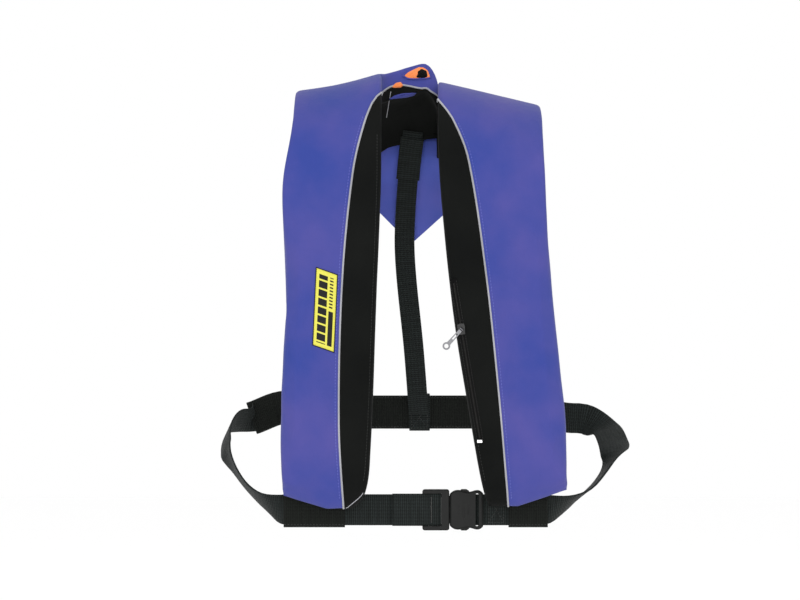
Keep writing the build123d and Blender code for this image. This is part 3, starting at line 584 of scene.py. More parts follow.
def pack_outline(arm, neck, thick, corner):
    """The closed, rounded outline of a cross-section, as (x, height) points."""
    way = 1 if neck > arm else -1
    outline = []
    corners = ((arm, -thick), (arm, thick), (neck, thick), (neck, -thick))
    turns = ((1, 1), (1, -1), (-1, -1), (-1, 1))
    for (cx, ch), (sx, sh), start in zip(corners, turns, (270, 180, 90, 0)):
        for step in range(5):
            angle = radians(start - 22.5 * step)
            dx = corner * cos(angle)
            dh = corner * sin(angle)
            outline.append((cx + way * (sx * corner + dx), ch + sh * corner + dh))
    return outline + outline[:1]


def piping_distance(row, corner, front_start, front_end):
    """How far round the outline the piping's seam is: on the front, on the corner, or down the wall."""
    half_corner = pi / 4
    depth = row.get("depth", 0.0)
    if depth > 0:
        return front_end + half_corner * (corner + min(depth, corner)) + max(depth - corner, 0.0)
    width, run = abs(row["neck"] - row["arm"]), abs(row["piping"] - row["arm"])
    on_front = min(max(run - corner, 0.0), front_end - front_start)
    return front_start + on_front + half_corner * min(max(run - (width - corner), 0.0), corner)


ROW_KINDS = {"front": front_row, "arch": arch_row, "back": back_row}


def section(side, place, t, half, inset):
    """One closed cross-section, as 3-D points: cover columns, then gusset columns, then lining columns."""
    row = ROW_KINDS[place](side, t, inset)
    thick = half * row.get("ends", 1.0)
    corner = min(row.get("corner", SHOULDER_CORNER), thick * 0.8)
    outline = pack_outline(row["arm"], row["neck"], thick, corner)
    lengths = [0.0]
    for a, b in zip(outline, outline[1:]):
        lengths.append(lengths[-1] + hypot(b[0] - a[0], b[1] - a[1]))

    def at(distance):
        k = max(i for i in range(len(lengths) - 1) if lengths[i] <= distance + 1e-9)
        span = lengths[k + 1] - lengths[k]
        share = (distance - lengths[k]) / span if span else 0
        return [outline[k][i] + (outline[k + 1][i] - outline[k][i]) * share for i in (0, 1)]

    start, lining_from, total = lengths[2], lengths[17], lengths[-1]
    piping_at = min(piping_distance(row, corner, lengths[9], lengths[10]), lining_from - 2.0)
    stops = [
        (start, piping_at, COVER_COLUMNS),
        (piping_at, lining_from, GUSSET_COLUMNS),
        (lining_from, total + start, LINING_COLUMNS),
    ]
    points = []
    for low, high, count in stops:
        for i in range(count):
            points.append(row["spot"](*at((low + (high - low) * i / count) % total)))
    return points


COLUMNS = COVER_COLUMNS + GUSSET_COLUMNS + LINING_COLUMNS


def facing_out(faces, side):
    """The left side is the right one's mirror image, so its faces are turned over."""
    return turned_over(faces) if side is LEFT else faces


def yoke_mesh(name, side, rows, material, slot):
    points = [p * MM for row in rows for p in row]
    return mesh_object(name, points, facing_out(tube_faces(len(rows), COLUMNS), side), material, slot)


def simulate(obj, frames, pressure, stiffness):
    """Fills the closed cloth with air and returns where its points go."""
    scene = bpy.context.scene
    cloth = obj.modifiers.new("cloth", "CLOTH")
    settings = cloth.settings
    settings.quality = 6
    settings.mass = 0.25
    settings.tension_stiffness = stiffness
    settings.compression_stiffness = stiffness * 0.7
    settings.shear_stiffness = stiffness * 0.4
    settings.bending_stiffness = 0.4
    settings.use_pressure = True
    settings.uniform_pressure_force = pressure
    settings.effector_weights.gravity = 0
    settings.shrink_min = -0.02
    scene.frame_start, scene.frame_end = 1, frames
    for number in range(1, frames + 1):
        scene.frame_set(number)
    evaluated = obj.evaluated_get(bpy.context.evaluated_depsgraph_get())
    points = [v.co.copy() for v in evaluated.data.vertices]
    obj.modifiers.remove(cloth)
    scene.frame_set(1)
    return points


def wrinkle(point):
    """Slack and soft folds in the cloth: how far a point moves out, in metres."""
    broad = noise.noise(Vector((point.x * 16, point.y * 10, point.z * 9)) + Vector((3.1, 0.0, 7.7)))
    diagonal = noise.noise(Vector(((point.x + point.z * 0.45) * 42, point.y * 20, (point.z - point.x) * 14)))
    return 0.0020 * broad + 0.0009 * diagonal


def puff_weight(column):
    """How much of the filling each column shows: little beside the piping and on the gusset's flat."""
    if column < COVER_COLUMNS:
        return 0.35 + 0.65 * smooth(min(column, COVER_COLUMNS - column) / 8)
    if column < COVER_COLUMNS + GUSSET_COLUMNS:
        return 0.12
    return 0.6


def held_share(place, t):
    """The cloth is drawn tight over the shoulder and flat at the hem, so the filling shows less there."""
    if place == "front":
        return (1.0 - 0.85 * smooth((t - 0.55) / 0.45)) * (0.2 + 0.8 * smooth(t / 0.1))
    return 0.15


SIM_FRAMES, SIM_PRESSURE, SIM_STIFFNESS = 14, 3.0, 12.0
PUFF_LIMIT = 0.006
SIDEWAYS = 0.35
SEAM_TUCK = 0.0018
CLOTH_THICK = 0.0009


def settled(side, rows):
    """The pack's points once it is filled and wrinkled, with the normals of its smooth shape."""
    whole = yoke_mesh(f"pack_{side['name']}", side, rows, BLUE, "blue_cloth")
    rest = [v.co.copy() for v in whole.data.vertices]
    moved = simulate(whole, SIM_FRAMES, SIM_PRESSURE, SIM_STIFFNESS)
    whole.data.update()
    normals = [v.normal.copy() for v in whole.data.vertices]
    held = [held_share(place, t) for place, t in stations(side)]
    final = []
    for index, (a, b, normal) in enumerate(zip(rest, moved, normals)):
        shift = b - a
        shift.x *= SIDEWAYS
        if shift.length > PUFF_LIMIT:
            shift = shift * (PUFF_LIMIT / shift.length)
        weight = puff_weight(index % COLUMNS) * held[index // COLUMNS]
        final.append(a + shift * weight + normal * wrinkle(a) * weight)
    bpy.data.objects.remove(whole)
    return final, normals


def yoke(side):
    """The filled pack of one side, cut into its cover, gusset and lining along their seams."""
    name = side["name"]
    rows = [section(side, place, t, HALF, 0.0) for place, t in stations(side)]
    final, normals = settled(side, rows)
    bounds = (0, COVER_COLUMNS, COVER_COLUMNS + GUSSET_COLUMNS, COLUMNS)
    finishes = (
        (f"cover_{name}", BLUE, "blue_cloth", [f"cover_front_{name}", f"cover_back_{name}"]),
        (f"gusset_{name}_cloth", BLACK, "black_cloth", [f"gusset_{name}"]),
        (f"lining_{name}_cloth", LINING, "black_lining", [f"lining_{name}"]),
    )
    made = []
    for first, last, (label, material, slot, nodes) in zip(bounds, bounds[1:], finishes):
        tucked = 0 if label.startswith("cover") else 1
        wanted = last - first + 1 + 2 * tucked
        points = []
        for r in range(len(rows)):
            for c in range(first - tucked, last + 1 + tucked):
                index = r * COLUMNS + c % COLUMNS
                under = SEAM_TUCK if c < first or c > last else 0.0
                points.append(final[index] - normals[index] * under)
        piece = mesh_object(label, points, facing_out(quads(len(rows), wanted), side), material, slot)
        thicken(piece, CLOTH_THICK, -1)
        apply_modifiers(piece)
        refine(piece).boundary_smooth = "PRESERVE_CORNERS"
        apply_modifiers(piece)
        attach(piece, "jacket")
        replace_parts(piece, *nodes)
        made.append(piece)
    seam = [final[r * COLUMNS + COVER_COLUMNS] for r in range(len(rows))]
    return made, seam


left_pieces, left_seam = yoke(LEFT)
right_pieces, right_seam = yoke(RIGHT)
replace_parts(left_pieces[2], "collar_lining")


# ---------------------------------------------------------------- trim on the yoke

def tree_of(*objects):
    """A search tree over the surfaces of some pieces."""
    points, faces = [], []
    for obj in objects:
        first = len(points)
        points += [obj.matrix_world @ v.co for v in obj.data.vertices]
        faces += [tuple(first + i for i in p.vertices) for p in obj.data.polygons]
    return BVHTree.FromPolygons(points, faces)


bpy.context.view_layer.update()
left_skin = tree_of(left_pieces[0], left_pieces[1])
right_skin = tree_of(right_pieces[0], right_pieces[1])
collar_skin = tree_of(*left_pieces)


LOBE_FRONT_Y = -113.0


def on_front(skin, x, z, from_y=-200.0):
    """The place and normal where the skin is first met from the front, at (x, z) in millimetres."""
    place, normal, _, _ = skin.ray_cast(Vector((x * MM, from_y * MM, z * MM)), -FORWARD)
    if place is None:
        return Vector((x, LOBE_FRONT_Y, z)) * MM, FORWARD
    return place, (normal if normal.y < 0 else -normal)


def tube(name, path, radius, material, slot, body="jacket"):
    """A round cord along points in metres."""
    curve = bpy.data.curves.new(name, "CURVE")
    curve.dimensions = "3D"
    curve.bevel_depth = radius
    curve.bevel_resolution = 2
    curve.use_fill_caps = True
    line = curve.splines.new("POLY")
    line.points.add(len(path) - 1)
    for target, point in zip(line.points, path):
        target.co = (*point, 1)
    carrier = bpy.data.objects.new(name + "_line", curve)
    bpy.context.collection.objects.link(carrier)
    mesh = bpy.data.meshes.new_from_object(carrier.evaluated_get(bpy.context.evaluated_depsgraph_get()))
    bpy.data.objects.remove(carrier)
    mesh.materials.clear()
    mesh.materials.append(material)
    mesh.polygons.foreach_set("use_smooth", [True] * len(mesh.polygons))
    obj = bpy.data.objects.new(name, mesh)
    bpy.context.collection.objects.link(obj)
    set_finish(obj, slot)
    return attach(obj, body)


def stitches(name, lines, material, slot, long, gap, thick):
    """Rows of small raised stitches along lines of (point, outward normal) pairs."""
    points, faces = [], []
    for line in lines:
        walked = 0.0
        next_start = 0.0
        for (p, n), (q, _) in zip(line, line[1:]):
            span = (q - p).length
            if span < 1e-7:
                continue
            way = (q - p) / span
            side = way.cross(n).normalized() * thick * MM
            up = n.normalized() * thick * MM
            while next_start <= walked + span:
                middle = p + way * (next_start - walked)
                first = len(points)
                half = way * long * MM / 2
                points += [middle - half, middle - half * 0.7 + side]
                points += [middle + half * 0.7 + side, middle + half]
                points += [middle + half * 0.7 - side, middle - half * 0.7 - side]
                points += [middle - half * 0.5 + up, middle + half * 0.5 + up]
                for face in ((0, 1, 6), (1, 2, 7, 6), (2, 3, 7), (3, 4, 7), (4, 5, 6, 7), (5, 0, 6)):
                    faces.append(tuple(first + i for i in face))
                next_start += (long + gap) * MM
            walked += span
    obj = mesh_object(name, points, faces, material, slot)
    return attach(obj, "jacket")


def seam_line(side, seam, last_t):
    """The part of a side's seam that shows: up the front and over the arch as far as last_t."""
    shown = [place == "front" or (place == "arch" and t <= last_t) for place, t in stations(side)]
    return [point for point, wanted in zip(seam, shown) if wanted]


RIGHT_RIM_LAST = 0.585
for side, seam, last_t in ((LEFT, left_seam, RIM_LAST), (RIGHT, right_seam, RIGHT_RIM_LAST)):
    line = seam_line(side, seam, last_t)
    cord = tube(f"piping_{side['name']}_cord", line, 1.2 * MM, PIPING, "silver_piping")
    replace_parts(cord, f"piping_{side['name']}")


LABEL_AT = (-111.4, -234.0)
LABEL_SIZE = (27.0, 95.0)
LABEL_SHEAR = -0.3
LABEL_LEAN = radians(-2.6)


def label_place(across, up):
    """The (x, z) of a place on the leaning label, from millimetres across and up from its middle."""
    up += across * LABEL_SHEAR
    x = LABEL_AT[0] + across * cos(LABEL_LEAN) - up * sin(LABEL_LEAN)
    return x, LABEL_AT[1] + across * sin(LABEL_LEAN) + up * cos(LABEL_LEAN)


def lay_label(columns, rows):
    """The label, laid on the front of the left lobe; its UV runs from 0 to 1 across and up."""
    points, coordinates = [], []
    for r in range(rows + 1):
        for c in range(columns + 1):
            u, v = c / columns, r / rows
            x, z = label_place((u - 0.5) * LABEL_SIZE[0], (v - 0.5) * LABEL_SIZE[1])
            place, _ = on_front(left_skin, x, z)
            points.append(place + FORWARD * 0.3 * MM)
            coordinates.append((u, v))
    faces = turned_over(quads(rows + 1, columns + 1))
    patch = mesh_object("label", points, faces, LABEL, "yellow_label")
    add_uv(patch, lambda index: coordinates[index])
    thicken(patch, 0.5 * MM, 1)
    apply_modifiers(patch)
    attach(patch, "jacket")
    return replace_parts(patch, "label_patch")


lay_label(8, 24)


def front_line(skin, points, lift):
    """A line of (point, normal) pairs on the front, from (x, z) points."""
    found = []
    for x, z in points:
        place, normal = on_front(skin, x, z)
        found.append((place + normal * lift * MM, normal))
    return found


def label_edge(inset):
    """Points (x, z) round the label, a little inside its edge."""
    wide, tall = LABEL_SIZE[0] / 2 - inset, LABEL_SIZE[1] / 2 - inset
    corners = [(-wide, -tall), (wide, -tall), (wide, tall), (-wide, tall)]
    path = []
    for (ax, az), (bx, bz) in zip(corners, corners[1:] + corners[:1]):
        path += [label_place(ax + (bx - ax) * i / 12, az + (bz - az) * i / 12) for i in range(12)]
    return path + path[:1]


label_line = front_line(left_skin, label_edge(0.9), 0.95)
stitches("label_stitches", [label_line], THREAD, "black_cloth", 1.6, 1.0, 0.22)


def edge_line(side, key, shift, low, high):
    """Points (x, z) beside one line of the outline, every 6 mm from low to high."""
    count = int((high - low) / 6)
    return [(along(side[key], low + 6 * i) + shift, low + 6 * i) for i in range(count)]


cover_lines = [
    front_line(left_skin, edge_line(LEFT, "piping", -4.2, -462, 8), 0.1),
    front_line(right_skin, edge_line(RIGHT, "piping", 4.2, -462, 2), 0.1),
]
stitches("cover_stitches", cover_lines, BLUE_THREAD, "blue_cloth", 2.4, 1.4, 0.25)
gusset_lines = [
    front_line(left_skin, edge_line(LEFT, "neck", -5.0, -440, -10), 0.1),
    front_line(right_skin, edge_line(RIGHT, "neck", 4.0, -440, -215), 0.1),
]
foot = [(-85, -475)] + [(along(LEFT["neck"], z) + 0.4, z) for z in range(-474, -454, 2)]
foot_line = [on_front(left_skin, x - 1.5, z)[0] + FORWARD * 0.3 * MM for x, z in foot]
tube("gusset_foot_seam", foot_line, 0.5 * MM, PIPING, "silver_piping")
stitches("gusset_stitches", gusset_lines, THREAD, "black_cloth", 2.4, 1.4, 0.25)


# ---------------------------------------------------------------- bladder and the opening behind the neck

BLADDER_HALF = 9.0
BLADDER_INSET = 12.0


def folded_bladder(side):
    """The folded bladder of one side: the pack's own shape, thinner and narrower."""
    kept = [(place, t) for place, t in stations(side) if place == "front" or (place == "arch" and t < 0.85)]
    rows = [section(side, place, t, BLADDER_HALF, BLADDER_INSET) for place, t in kept]
    obj = yoke_mesh(f"bladder_{side['name']}_cloth", side, rows, ORANGE, "orange_bladder")
    for vertex in obj.data.vertices:
        folds = noise.noise(Vector((vertex.co.x * 90, vertex.co.y * 40, vertex.co.z * 16)))
        vertex.co += vertex.normal * 0.0012 * (folds - 0.6)
    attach(obj, "jacket")
    return obj


for side in (LEFT, RIGHT):
    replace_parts(folded_bladder(side), "bladder")


def fold(name, outline, bulge, crumple, material, slot):
    """A crumpled piece of cloth inside an outline of (x, z) points on the collar's front."""
    middle = sum((Vector(corner) for corner in outline), Vector((0, 0))) / len(outline)
    rings, wide = 7, len(outline) * 4
    edge = []
    for (ax, az), (bx, bz) in zip(outline, outline[1:] + outline[:1]):
        edge += [Vector((ax + (bx - ax) * i / 4, az + (bz - az) * i / 4)) for i in range(4)]
    points = []
    for ring in range(rings + 1):
        share = ring / rings
        for place in edge:
            flat = middle + (place - middle) * share
            found, _ = on_front(collar_skin, flat.x, flat.y, from_y=-60.0)
            folds = noise.noise(Vector((flat.x * 0.35, flat.y * 0.5, 1.7)))
            rise = bulge * (1 - share**3) + crumple * folds * (1 - share)
            points.append(found - Vector((0, (rise + 0.2) * MM, -0.2 * rise * MM)))
    obj = mesh_object(name, points, quads(rings + 1, wide, True), material, slot)
    thicken(obj, 0.8 * MM, -1)
    refine(obj)
    apply_modifiers(obj)
    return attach(obj, "jacket")


OPENING = [(-17, 56), (-11, 60.5), (-4, 64.5), (3, 67.5), (9, 67)]
OPENING += [(14.5, 63), (17.5, 54), (9, 52.5), (-2, 52), (-11, 52.5)]
LOW_FOLD = [(-31, 41), (-26, 46.5), (-20, 48), (-17, 44), (-20, 41.5)]
CLOSURE = [(-1.5, 53), (0.5, 62), (6, 65), (12.5, 62), (14, 54.5), (8, 53)]
BLUE_HEM = [(-35, 26), (-28, 31), (-18, 33.5), (-6, 34.5), (0, 35), (-3, 32), (-12, 29.5), (-24, 28)]
fold("bladder_fold_high", OPENING, 2.6, 3.0, ORANGE, "orange_bladder")
fold("bladder_fold_low", LOW_FOLD, 2.0, 1.5, ORANGE, "orange_bladder")
pad = fold("closure_pad_cloth", CLOSURE, 4.6, 1.6, HOOK, "hook_and_loop")
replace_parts(pad, "closure_pad")
fold("collar_blue_hem", BLUE_HEM, 0.6, 0.4, BLUE, "blue_cloth")


def on_collar(x, z, lift):
    """The place on the collar's front at (x, z) in millimetres, lifted off the cloth."""
    return on_front(collar_skin, x, z, from_y=-60.0)[0] + FORWARD * lift * MM


opening_hem = [on_collar(x, z, 1.2) for x, z in OPENING + OPENING[:1]]
tube("opening_hem", opening_hem, 1.1 * MM, BLUE, "blue_cloth")
grey_seam = [on_collar(-32 - 5.5 * i / 8, 36 - 31 * i / 8, 0.4) for i in range(9)]
tube("collar_grey_seam", grey_seam, 0.45 * MM, PIPING, "silver_piping")


# ---------------------------------------------------------------- webbing

def hermite(p, q, m, n, count, skip_first=False):
    """Points on the cubic from p to q, with tangents m and n."""
    p, q, m, n = (Vector(place) for place in (p, q, m, n))
    return [cubic(p, q, m, n, i / count) for i in range(1 if skip_first else 0, count + 1)]


def tangent_at(centres, i):
    """The direction of a line of places at one of them."""
    return (centres[min(i + 1, len(centres) - 1)] - centres[max(i - 1, 0)]).normalized()


def ribbon(name, centres, ups, width, thick, material, slot, body="jacket"):
    """A strap with rounded edges along centres in millimetres, its width along ups; UV in metres."""
    half, deep = width / 2, thick / 2
    cut = [(-half + deep, -deep), (-half * 0.5, -deep), (0, -deep), (half * 0.5, -deep), (half - deep, -deep)]
    cut += [(half - deep * 0.3, -deep * 0.7), (half, 0), (half - deep * 0.3, deep * 0.7)]
    cut += [(-u, -h) for u, h in cut]
    points, across, lengths = [], [], []
    walked = 0.0
    for i, centre in enumerate(centres):
        tangent = tangent_at(centres, i)
        up = (ups[i] - tangent * ups[i].dot(tangent)).normalized()
        out = tangent.cross(up)
        if i:
            walked += (centre - centres[i - 1]).length
        for u, h in cut:
            points.append((centre + up * u + out * h) * MM)
            across.append(u)
            lengths.append(walked)
    obj = mesh_object(name, points, tube_faces(len(centres), len(cut)), material, slot)
    add_uv(obj, lambda index: (across[index] * MM, lengths[index] * MM))
    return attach(obj, body)


BELT_Y = (-68.0, 95.0)
BELT_Z = (-478.5, -363.5)
BELT_RISE = (-64.0, 70.0)
WEBBING = 38.0


def belt_z(y):
    """The height of the belt's middle: low in front, high behind, and rising round the sides."""
    low, high = BELT_RISE
    if y <= low:
        return BELT_Z[0]
    if y >= high:
        return BELT_Z[1]
    span = high - low
    return cubic(BELT_Z[0], BELT_Z[1], span * 0.4, 0.0, (y - low) / span)


# How much the belt's back rises behind the left lobe, and falls at its ends.
LEFT_RISE = 6.0
LEFT_DROP = 15.95
RIGHT_DROP = 7.7
SIDE_DROP = 16.5


def back_drop(x):
    """How far the belt's back hangs below its level: it rises behind the left lobe, and its ends fall."""
    on_left = LEFT_DROP * smooth((-165.0 - x) / 55.0) - LEFT_RISE * smooth((-60.0 - x) / 100.0)
    on_right = RIGHT_DROP * smooth((x - 140.0) / 60.0) + SIDE_DROP * smooth((x - 205.0) / 45.0)
    return on_left + on_right


def belt_centres(front_x, plan):
    """Along the front, round one side, and along the back; the plan holds (place, tangent) pairs."""
    start, end = plan[0][0], plan[-1][0]
    places = [Vector((front_x + (start[0] - front_x) * i / 12, start[1], 0)) for i in range(12)]
    for number, ((p, m), (q, n)) in enumerate(zip(plan, plan[1:])):
        places += hermite((*p, 0), (*q, 0), (*m, 0), (*n, 0), 22, number > 0)
    inward = 1 if end[0] < 0 else -1
    places += [Vector((end[0] + inward * 8 * i, end[1], 0)) for i in range(1, 8)]
    drops = [back_drop(p.x) * smooth((p.y + 10.0) / 60.0) for p in places]
    return [Vector((p.x, p.y, belt_z(p.y) - drop)) for p, drop in zip(places, drops)]


def belt_uprights(centres, twist):
    """Uprights square to the belt, turned out of the vertical by (degrees, y) pairs on the way round."""
    found = []
    for i, centre in enumerate(centres):
        tangent = tangent_at(centres, i)
        up = UP - tangent * tangent.z
        turn = Matrix.Rotation(radians(along(twist, centre.y)), 3, tangent)
        found.append(turn @ up.normalized())
    return found


# The belt's way round each side, as ((x, y), tangent), and its twist, as (degrees, y).
LEFT_PLAN = [
    ((-150, BELT_Y[0]), (-78, 0)),
    ((-237, 15), (-12, 85)),
    ((-200, BELT_Y[1]), (60, 22)),
]
RIGHT_PLAN = [
    ((140, BELT_Y[0]), (122, 0)),
    ((246, 10), (8, 62)),
    ((212, BELT_Y[1]), (-85, 4)),
]
LEFT_TWIST = [
    (0, -68), (-40, -54), (-48, -38), (-40, -20), (-26, -5), (-8, 5),
    (13, 15), (32, 50), (38, 72), (36, 84), (18, 92), (0, 95),
]
RIGHT_TWIST = [
    (0, -68), (40, -58), (58, -48), (66, -36), (60, -22), (56, -8), (60, 2),
    (70, 14), (80, 28), (82, 45), (76, 65), (58, 80), (28, 91), (0, 95),
]
BELTS = (("left", -26, LEFT_PLAN, LEFT_TWIST), ("right", 66, RIGHT_PLAN, RIGHT_TWIST))
for name, front_x, plan, twist in BELTS:
    centres = belt_centres(front_x, plan)
    uprights = belt_uprights(centres, twist)
    belt = ribbon(f"belt_{name}_web", centres, uprights, WEBBING, 2.2, WEB, "black_webbing")
    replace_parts(belt, f"belt_{name}")


def back_place(x, y, z):
    """A place on the back of the belt, moved with its hang."""
    return Vector((x, y - 0.3 * back_drop(x), z - back_drop(x)))


def level_run(x_from, x_to, y, z, count):
    """Points along a level stretch of webbing."""
    return [Vector((x_from + (x_to - x_from) * i / count, y, z)) for i in range(count + 1)]


def upright(centres):
    return [UP] * len(centres)


back_run = level_run(-208, 168, BELT_Y[1], BELT_Z[1], 60)
back_run = [back_place(*p) for p in back_run]
back_sleeve = ribbon("belt_back_sleeve_web", back_run, upright(back_run), 42.0, 5.6, SLEEVE, "black_webbing")
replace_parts(back_sleeve, "belt_back_sleeve")
for name, low, high in (("left", -163, -88), ("right", 112, 160)):
    run = level_run(low, high, BELT_Y[0], BELT_Z[0], 16)
    sleeve = ribbon(f"belt_sleeve_{name}_web", run, upright(run), 43.0, 6.4, SLEEVE, "black_cloth")
    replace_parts(sleeve, f"belt_sleeve_{name}")


STRAP_LINE = [(4, -380), (-3.5, -283), (-13, -190), (-15, -140), (-10, -60), (-4, -10)]
STRAP_TOP, STRAP_FOOT = (30.5, -12.0), (87.4, -366.0)


def strap_centre(z, ahead=0.0):
    """The middle of the back strap at this height, or a little ahead of it."""
    (top_y, top_z), (foot_y, foot_z) = STRAP_TOP, STRAP_FOOT
    share = (top_z - z) / (top_z - foot_z)
    return Vector((along(STRAP_LINE, z), top_y - ahead + (foot_y - top_y) * share, z))


strap_run = [strap_centre(-12 - 354 * i / 70) for i in range(71)]
sideways = [TO_RIGHT] * len(strap_run)
back_strap = ribbon("back_strap_web", strap_run, sideways, 25.0, 1.9, WEB, "black_webbing")
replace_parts(back_strap, "back_strap")
patch_run = [strap_centre(-20 - 52 * i / 14, 2.2) for i in range(15)]
strap_patch = ribbon("strap_patch_web", patch_run, sideways[:15], 29.0, 1.6, WEB, "black_webbing")
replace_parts(strap_patch, "strap_patch")


LOOP_Y, LOOP_Z = 4.3, 22.6


def loop_path():
    """Round the back sleeve, with rounded corners, closed at the front."""
    found = []
    corners = ((-1, -1, 180), (1, -1, 270), (1, 1, 0), (-1, 1, 90))
    corner = 2.2
    for sy, sz, start in corners:
        for step in range(5):
            angle = radians(start + 22.5 * step)
            y = sy * (LOOP_Y - corner) + corner * cos(angle)
            z = sz * (LOOP_Z - corner) + corner * sin(angle)
            found.append(Vector((4.0, BELT_Y[1] + y, BELT_Z[1] + z)))
    return found + found[:2]


loop_run = loop_path()
loop_ups = [TO_RIGHT] * len(loop_run)
strap_loop = ribbon("back_strap_loop_web", loop_run, loop_ups, 26.0, 1.9, WEB, "black_webbing")
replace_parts(strap_loop, "back_strap_loop")


def flat_line(points, y):
    """A line of (point, normal) pairs facing the front, from (x, z) points at one depth."""
    return [(Vector((x, y, z)) * MM, FORWARD) for x, z in points]


def box_and_cross(low, high, y):
    """The usual bar-tack of webbing: a box with its two diagonals."""
    (x0, z0), (x1, z1) = low, high
    corners = [(x0, z0), (x1, z0), (x1, z1), (x0, z1), (x0, z0)]
    return [flat_line(corners, y), flat_line([(x0, z0), (x1, z1)], y), flat_line([(x0, z1), (x1, z0)], y)]


loop_front = BELT_Y[1] - LOOP_Y - 1.1
web_lines = box_and_cross((-6.0, BELT_Z[1] - 20.0), (14.0, BELT_Z[1] + 7.0), loop_front)
for low, high in ((-148, -10), (19, 138)):
    for edge in (18.0, -18.0):
        places = [back_place(x, BELT_Y[1] - 2.95, BELT_Z[1] + edge) for x in range(low, high, 6)]
        web_lines.append([(place * MM, FORWARD) for place in places])
for z in (-460.5, -496.5):
    web_lines.append(flat_line([(-161, z), (-90, z)], BELT_Y[0] - 3.35))
    web_lines.append(flat_line([(114, z), (158, z)], BELT_Y[0] - 3.35))
web_lines += box_and_cross((88.0, -494.0), (106.0, -463.0), BELT_Y[0] - 1.2)
stitches("web_stitches", web_lines, THREAD, "black_webbing", 2.6, 1.3, 0.3)


TURN_R = 3.4
TURN_X = 26.6


def turn_path():
    """The belt's end, turned back round the plug's ladder bar."""
    found = level_run(-30, TURN_X, BELT_Y[0] - TURN_R, BELT_Z[0], 20)
    for step in range(20, 180, 20):
        angle = radians(step)
        found.append(Vector((TURN_X + TURN_R * sin(angle), BELT_Y[0] - TURN_R * cos(angle), BELT_Z[0])))
    return found + level_run(TURN_X, -30, BELT_Y[0] + TURN_R, BELT_Z[0], 20)


turn_run = turn_path()
webbing_loop = ribbon(
    "webbing_loop_web", turn_run, upright(turn_run), WEBBING + 1.2, 1.9, WEB, "black_webbing", "plug"
)
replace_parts(webbing_loop, "webbing_loop")

throat_line = level_run(37.4, 42.5, BELT_Y[0], BELT_Z[0], 6)
ribbon("plug_throat", throat_line, upright(throat_line), 34.0, 2.6, ACETAL, "black_acetal", "plug")
# Painted highlights: two thin raised lines on the plug's front, in the lighter thread colour, where light
# catches it.
for number, x in enumerate((17.6, 29.8)):
    highlight_line = [Vector((x, -73.4, z)) * MM for z in (-494.5, -486.0, -478.5, -471.0, -462.5)]
    tube(f"plug_rib_{number}", highlight_line, 0.55 * MM, THREAD, "black_acetal", "plug")


# ---------------------------------------------------------------- back flap

FLAP_TOP = -20.0
FLAP_Y = (57.0, 71.4)


def flap():
    """A hanging triangle of cloth, sewn inside the back panel's hem, its point on the spine."""
    lean = [(side["arm"][-1][0] - FLAP_APEX[0]) / (SHOULDER_BACK_Z - FLAP_APEX[1]) for side in (LEFT, RIGHT)]
    across, down = 28, 26
    points = []
    for r in range(down + 1):
        z = FLAP_TOP + (FLAP_APEX[1] + 1.5 - FLAP_TOP) * r / down
        depth = FLAP_Y[0] + (FLAP_Y[1] - FLAP_Y[0]) * smooth((BACK_HEM_Z - z) / 45)
        low = FLAP_APEX[0] + lean[0] * (z - FLAP_APEX[1])
        high = FLAP_APEX[0] + lean[1] * (z - FLAP_APEX[1])
        for c in range(across + 1):
            x = low + (high - low) * c / across
            ripple = 1.3 * noise.noise(Vector((x * 0.03, z * 0.03, 4.2))) * (r / down + 0.2)
            points.append(Vector((x, depth + ripple, z)) * MM)
    # The flap's own surface gets the lighter blue, painted to make up for the shade under the yoke; the
    # thickened shell's other face gets the plain blue.
    obj = mesh_object("back_flap_cloth", points, quads(down + 1, across + 1), BLUE_PAINTED_LIGHTER, "blue_cloth")
    obj.data.materials.append(BLUE)
    thicken(obj, 1.1 * MM, 0).material_offset = 1
    apply_modifiers(obj)
    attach(obj, "jacket")
    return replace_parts(obj, "back_flap")


flap()


# ---------------------------------------------------------------- zip

ZIP_AT = (53.7, -257.4)
ZIP_Y = -114.0
ZIP_LEAN = 0.168
ZIP_UP, ZIP_DOWN = 62.0, 138.0


def zip_point(along_zip, across, y):
    """A place on the zip: distance up it from the slider's rest, distance across it, and depth."""
    length = hypot(1, ZIP_LEAN)
    up = Vector((-ZIP_LEAN / length, 0, 1 / length))
    side = Vector((1 / length, 0, ZIP_LEAN / length))
    return Vector((ZIP_AT[0], y, ZIP_AT[1])) + up * along_zip + side * across


def zip_coil():
    """Interlocked coil teeth, two to a pitch, on a folded tape."""
    points, faces = [], []
    pitch = 1.3
    count = int((ZIP_UP + ZIP_DOWN - 8) / pitch)
    for i in range(count):
        for sign in (-1, 1):
            at = -ZIP_DOWN + 4 + (i + (0.5 if sign > 0 else 0)) * pitch
            first = len(points)
            for da, dc, dy in (
                (-0.28, -0.2, 0.0), (0.28, -0.2, 0.0), (0.28, 1.15, 0.0), (-0.28, 1.15, 0.0),
                (-0.2, 0.0, -0.9), (0.2, 0.0, -0.9), (0.2, 0.9, -0.9), (-0.2, 0.9, -0.9),
            ):
                points.append(zip_point(at + da, sign * dc, ZIP_Y + dy) * MM)
            order = ((4, 5, 6, 7), (0, 1, 5, 4), (1, 2, 6, 5), (2, 3, 7, 6), (3, 0, 4, 7), (3, 2, 1, 0))
            for face in order:
                face = face if sign > 0 else tuple(reversed(face))
                faces.append(tuple(first + k for k in face))
    coil = mesh_object("zip_coil", points, faces, COIL, "zip_tape", False)
    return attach(coil, "jacket")


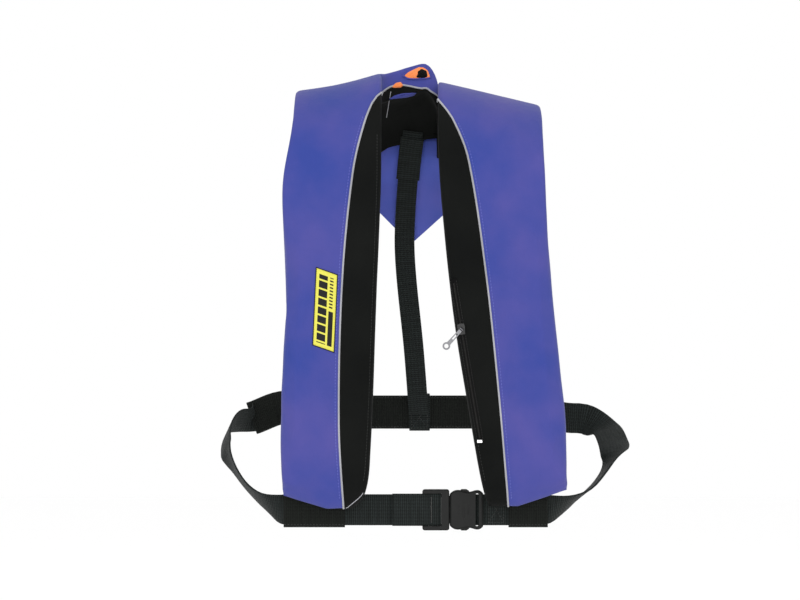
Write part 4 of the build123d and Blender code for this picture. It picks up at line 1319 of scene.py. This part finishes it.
zip_run = [zip_point(-ZIP_DOWN + (ZIP_UP + ZIP_DOWN) * i / 40, 0, ZIP_Y + 0.3) for i in range(41)]
zip_side = zip_point(0, 1, 0) - zip_point(0, 0, 0)
zip_tape = ribbon("zip_tape_web", zip_run, [zip_side] * 41, 9.0, 0.6, HOOK, "zip_tape")
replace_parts(zip_tape, "zip_tape")
zip_coil()
zip_lines = [
    [(zip_point(end, across, ZIP_Y - 0.05) * MM, FORWARD) for end in (4 - ZIP_DOWN, ZIP_UP - 4)]
    for across in (-3.6, 3.6)
]
stitches("zip_stitches", zip_lines, THREAD, "zip_tape", 2.0, 1.2, 0.2)


STOP_AT = Vector((75.8, -114.4, -393.2))
STOP_HALF = (3.1, 1.8)


def crimped_stop():
    """The zip's stop: a small plate whose front is smaller than its back."""
    points = []
    for depth, shrink in ((0.0, 0.0), (1.1, 0.0), (1.5, 0.5)):
        wide, tall = STOP_HALF[0] - shrink, STOP_HALF[1] - shrink
        for across, up in ((-wide, -tall), (wide, -tall), (wide, tall), (-wide, tall)):
            points.append((STOP_AT + Vector((across, -depth, up))) * MM)
    faces = [(3, 2, 1, 0), (8, 9, 10, 11)] + turned_over(quads(3, 4, True))
    return mesh_object("zip_stop_crimp", points, faces, NICKEL, "nickel", False)


stop = crimped_stop()
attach(stop, "jacket")
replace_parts(stop, "zip_stop")


# ---------------------------------------------------------------- camera and light

camera_data = bpy.data.cameras.new("camera")
camera_data.sensor_width = 36
CAMERA_FAR = 5.0
VIEW_WIDTH = 0.976
camera_data.lens = camera_data.sensor_width * CAMERA_FAR / VIEW_WIDTH
camera_data.clip_end = 40
camera = bpy.data.objects.new("camera", camera_data)
bpy.context.collection.objects.link(camera)
camera.location = (-0.0207, -0.08 - CAMERA_FAR, -0.222)
camera.rotation_euler = (radians(90), 0, 0)
bpy.context.scene.camera = camera


LIT_PLACE = Vector((0, 0, -0.2))


def area_light(name, place, size, power):
    """A square light that shines on the jacket's middle."""
    data = bpy.data.lights.new(name, "AREA")
    data.energy = power
    data.size = size
    light = bpy.data.objects.new(name, data)
    bpy.context.collection.objects.link(light)
    light.location = place
    light.rotation_euler = (LIT_PLACE - Vector(place)).to_track_quat("-Z", "Y").to_euler()
    return light


lights = [
    area_light("key", (-1.6, -2.6, 1.5), 2.2, 22),
    area_light("fill", (2.2, -2.2, 0.3), 2.6, 12),
    area_light("front", (0.0, -4.4, -0.1), 1.6, 60),
    area_light("top", (0, 0.3, 2.2), 2.0, 5),
]
world = bpy.data.worlds.new("world")
bpy.context.scene.world = world
world.use_nodes = True
set_inputs(world.node_tree.nodes["Background"], {"Color": (1, 1, 1, 1), "Strength": 1.0})
bpy.context.scene.view_settings.view_transform = "Standard"

pale, _, pale_shader = new_material("pale backdrop")
set_inputs(pale_shader, {"Base Color": (0.99, 0.99, 0.99, 1), "Roughness": 0.9})
floor_corners = [(-9, -9, -0.9), (9, -9, -0.9), (9, 9, -0.9), (-9, 9, -0.9)]
floor = mesh_object("floor", floor_corners, [(0, 1, 2, 3)], pale, "backdrop")
del floor["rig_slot"]
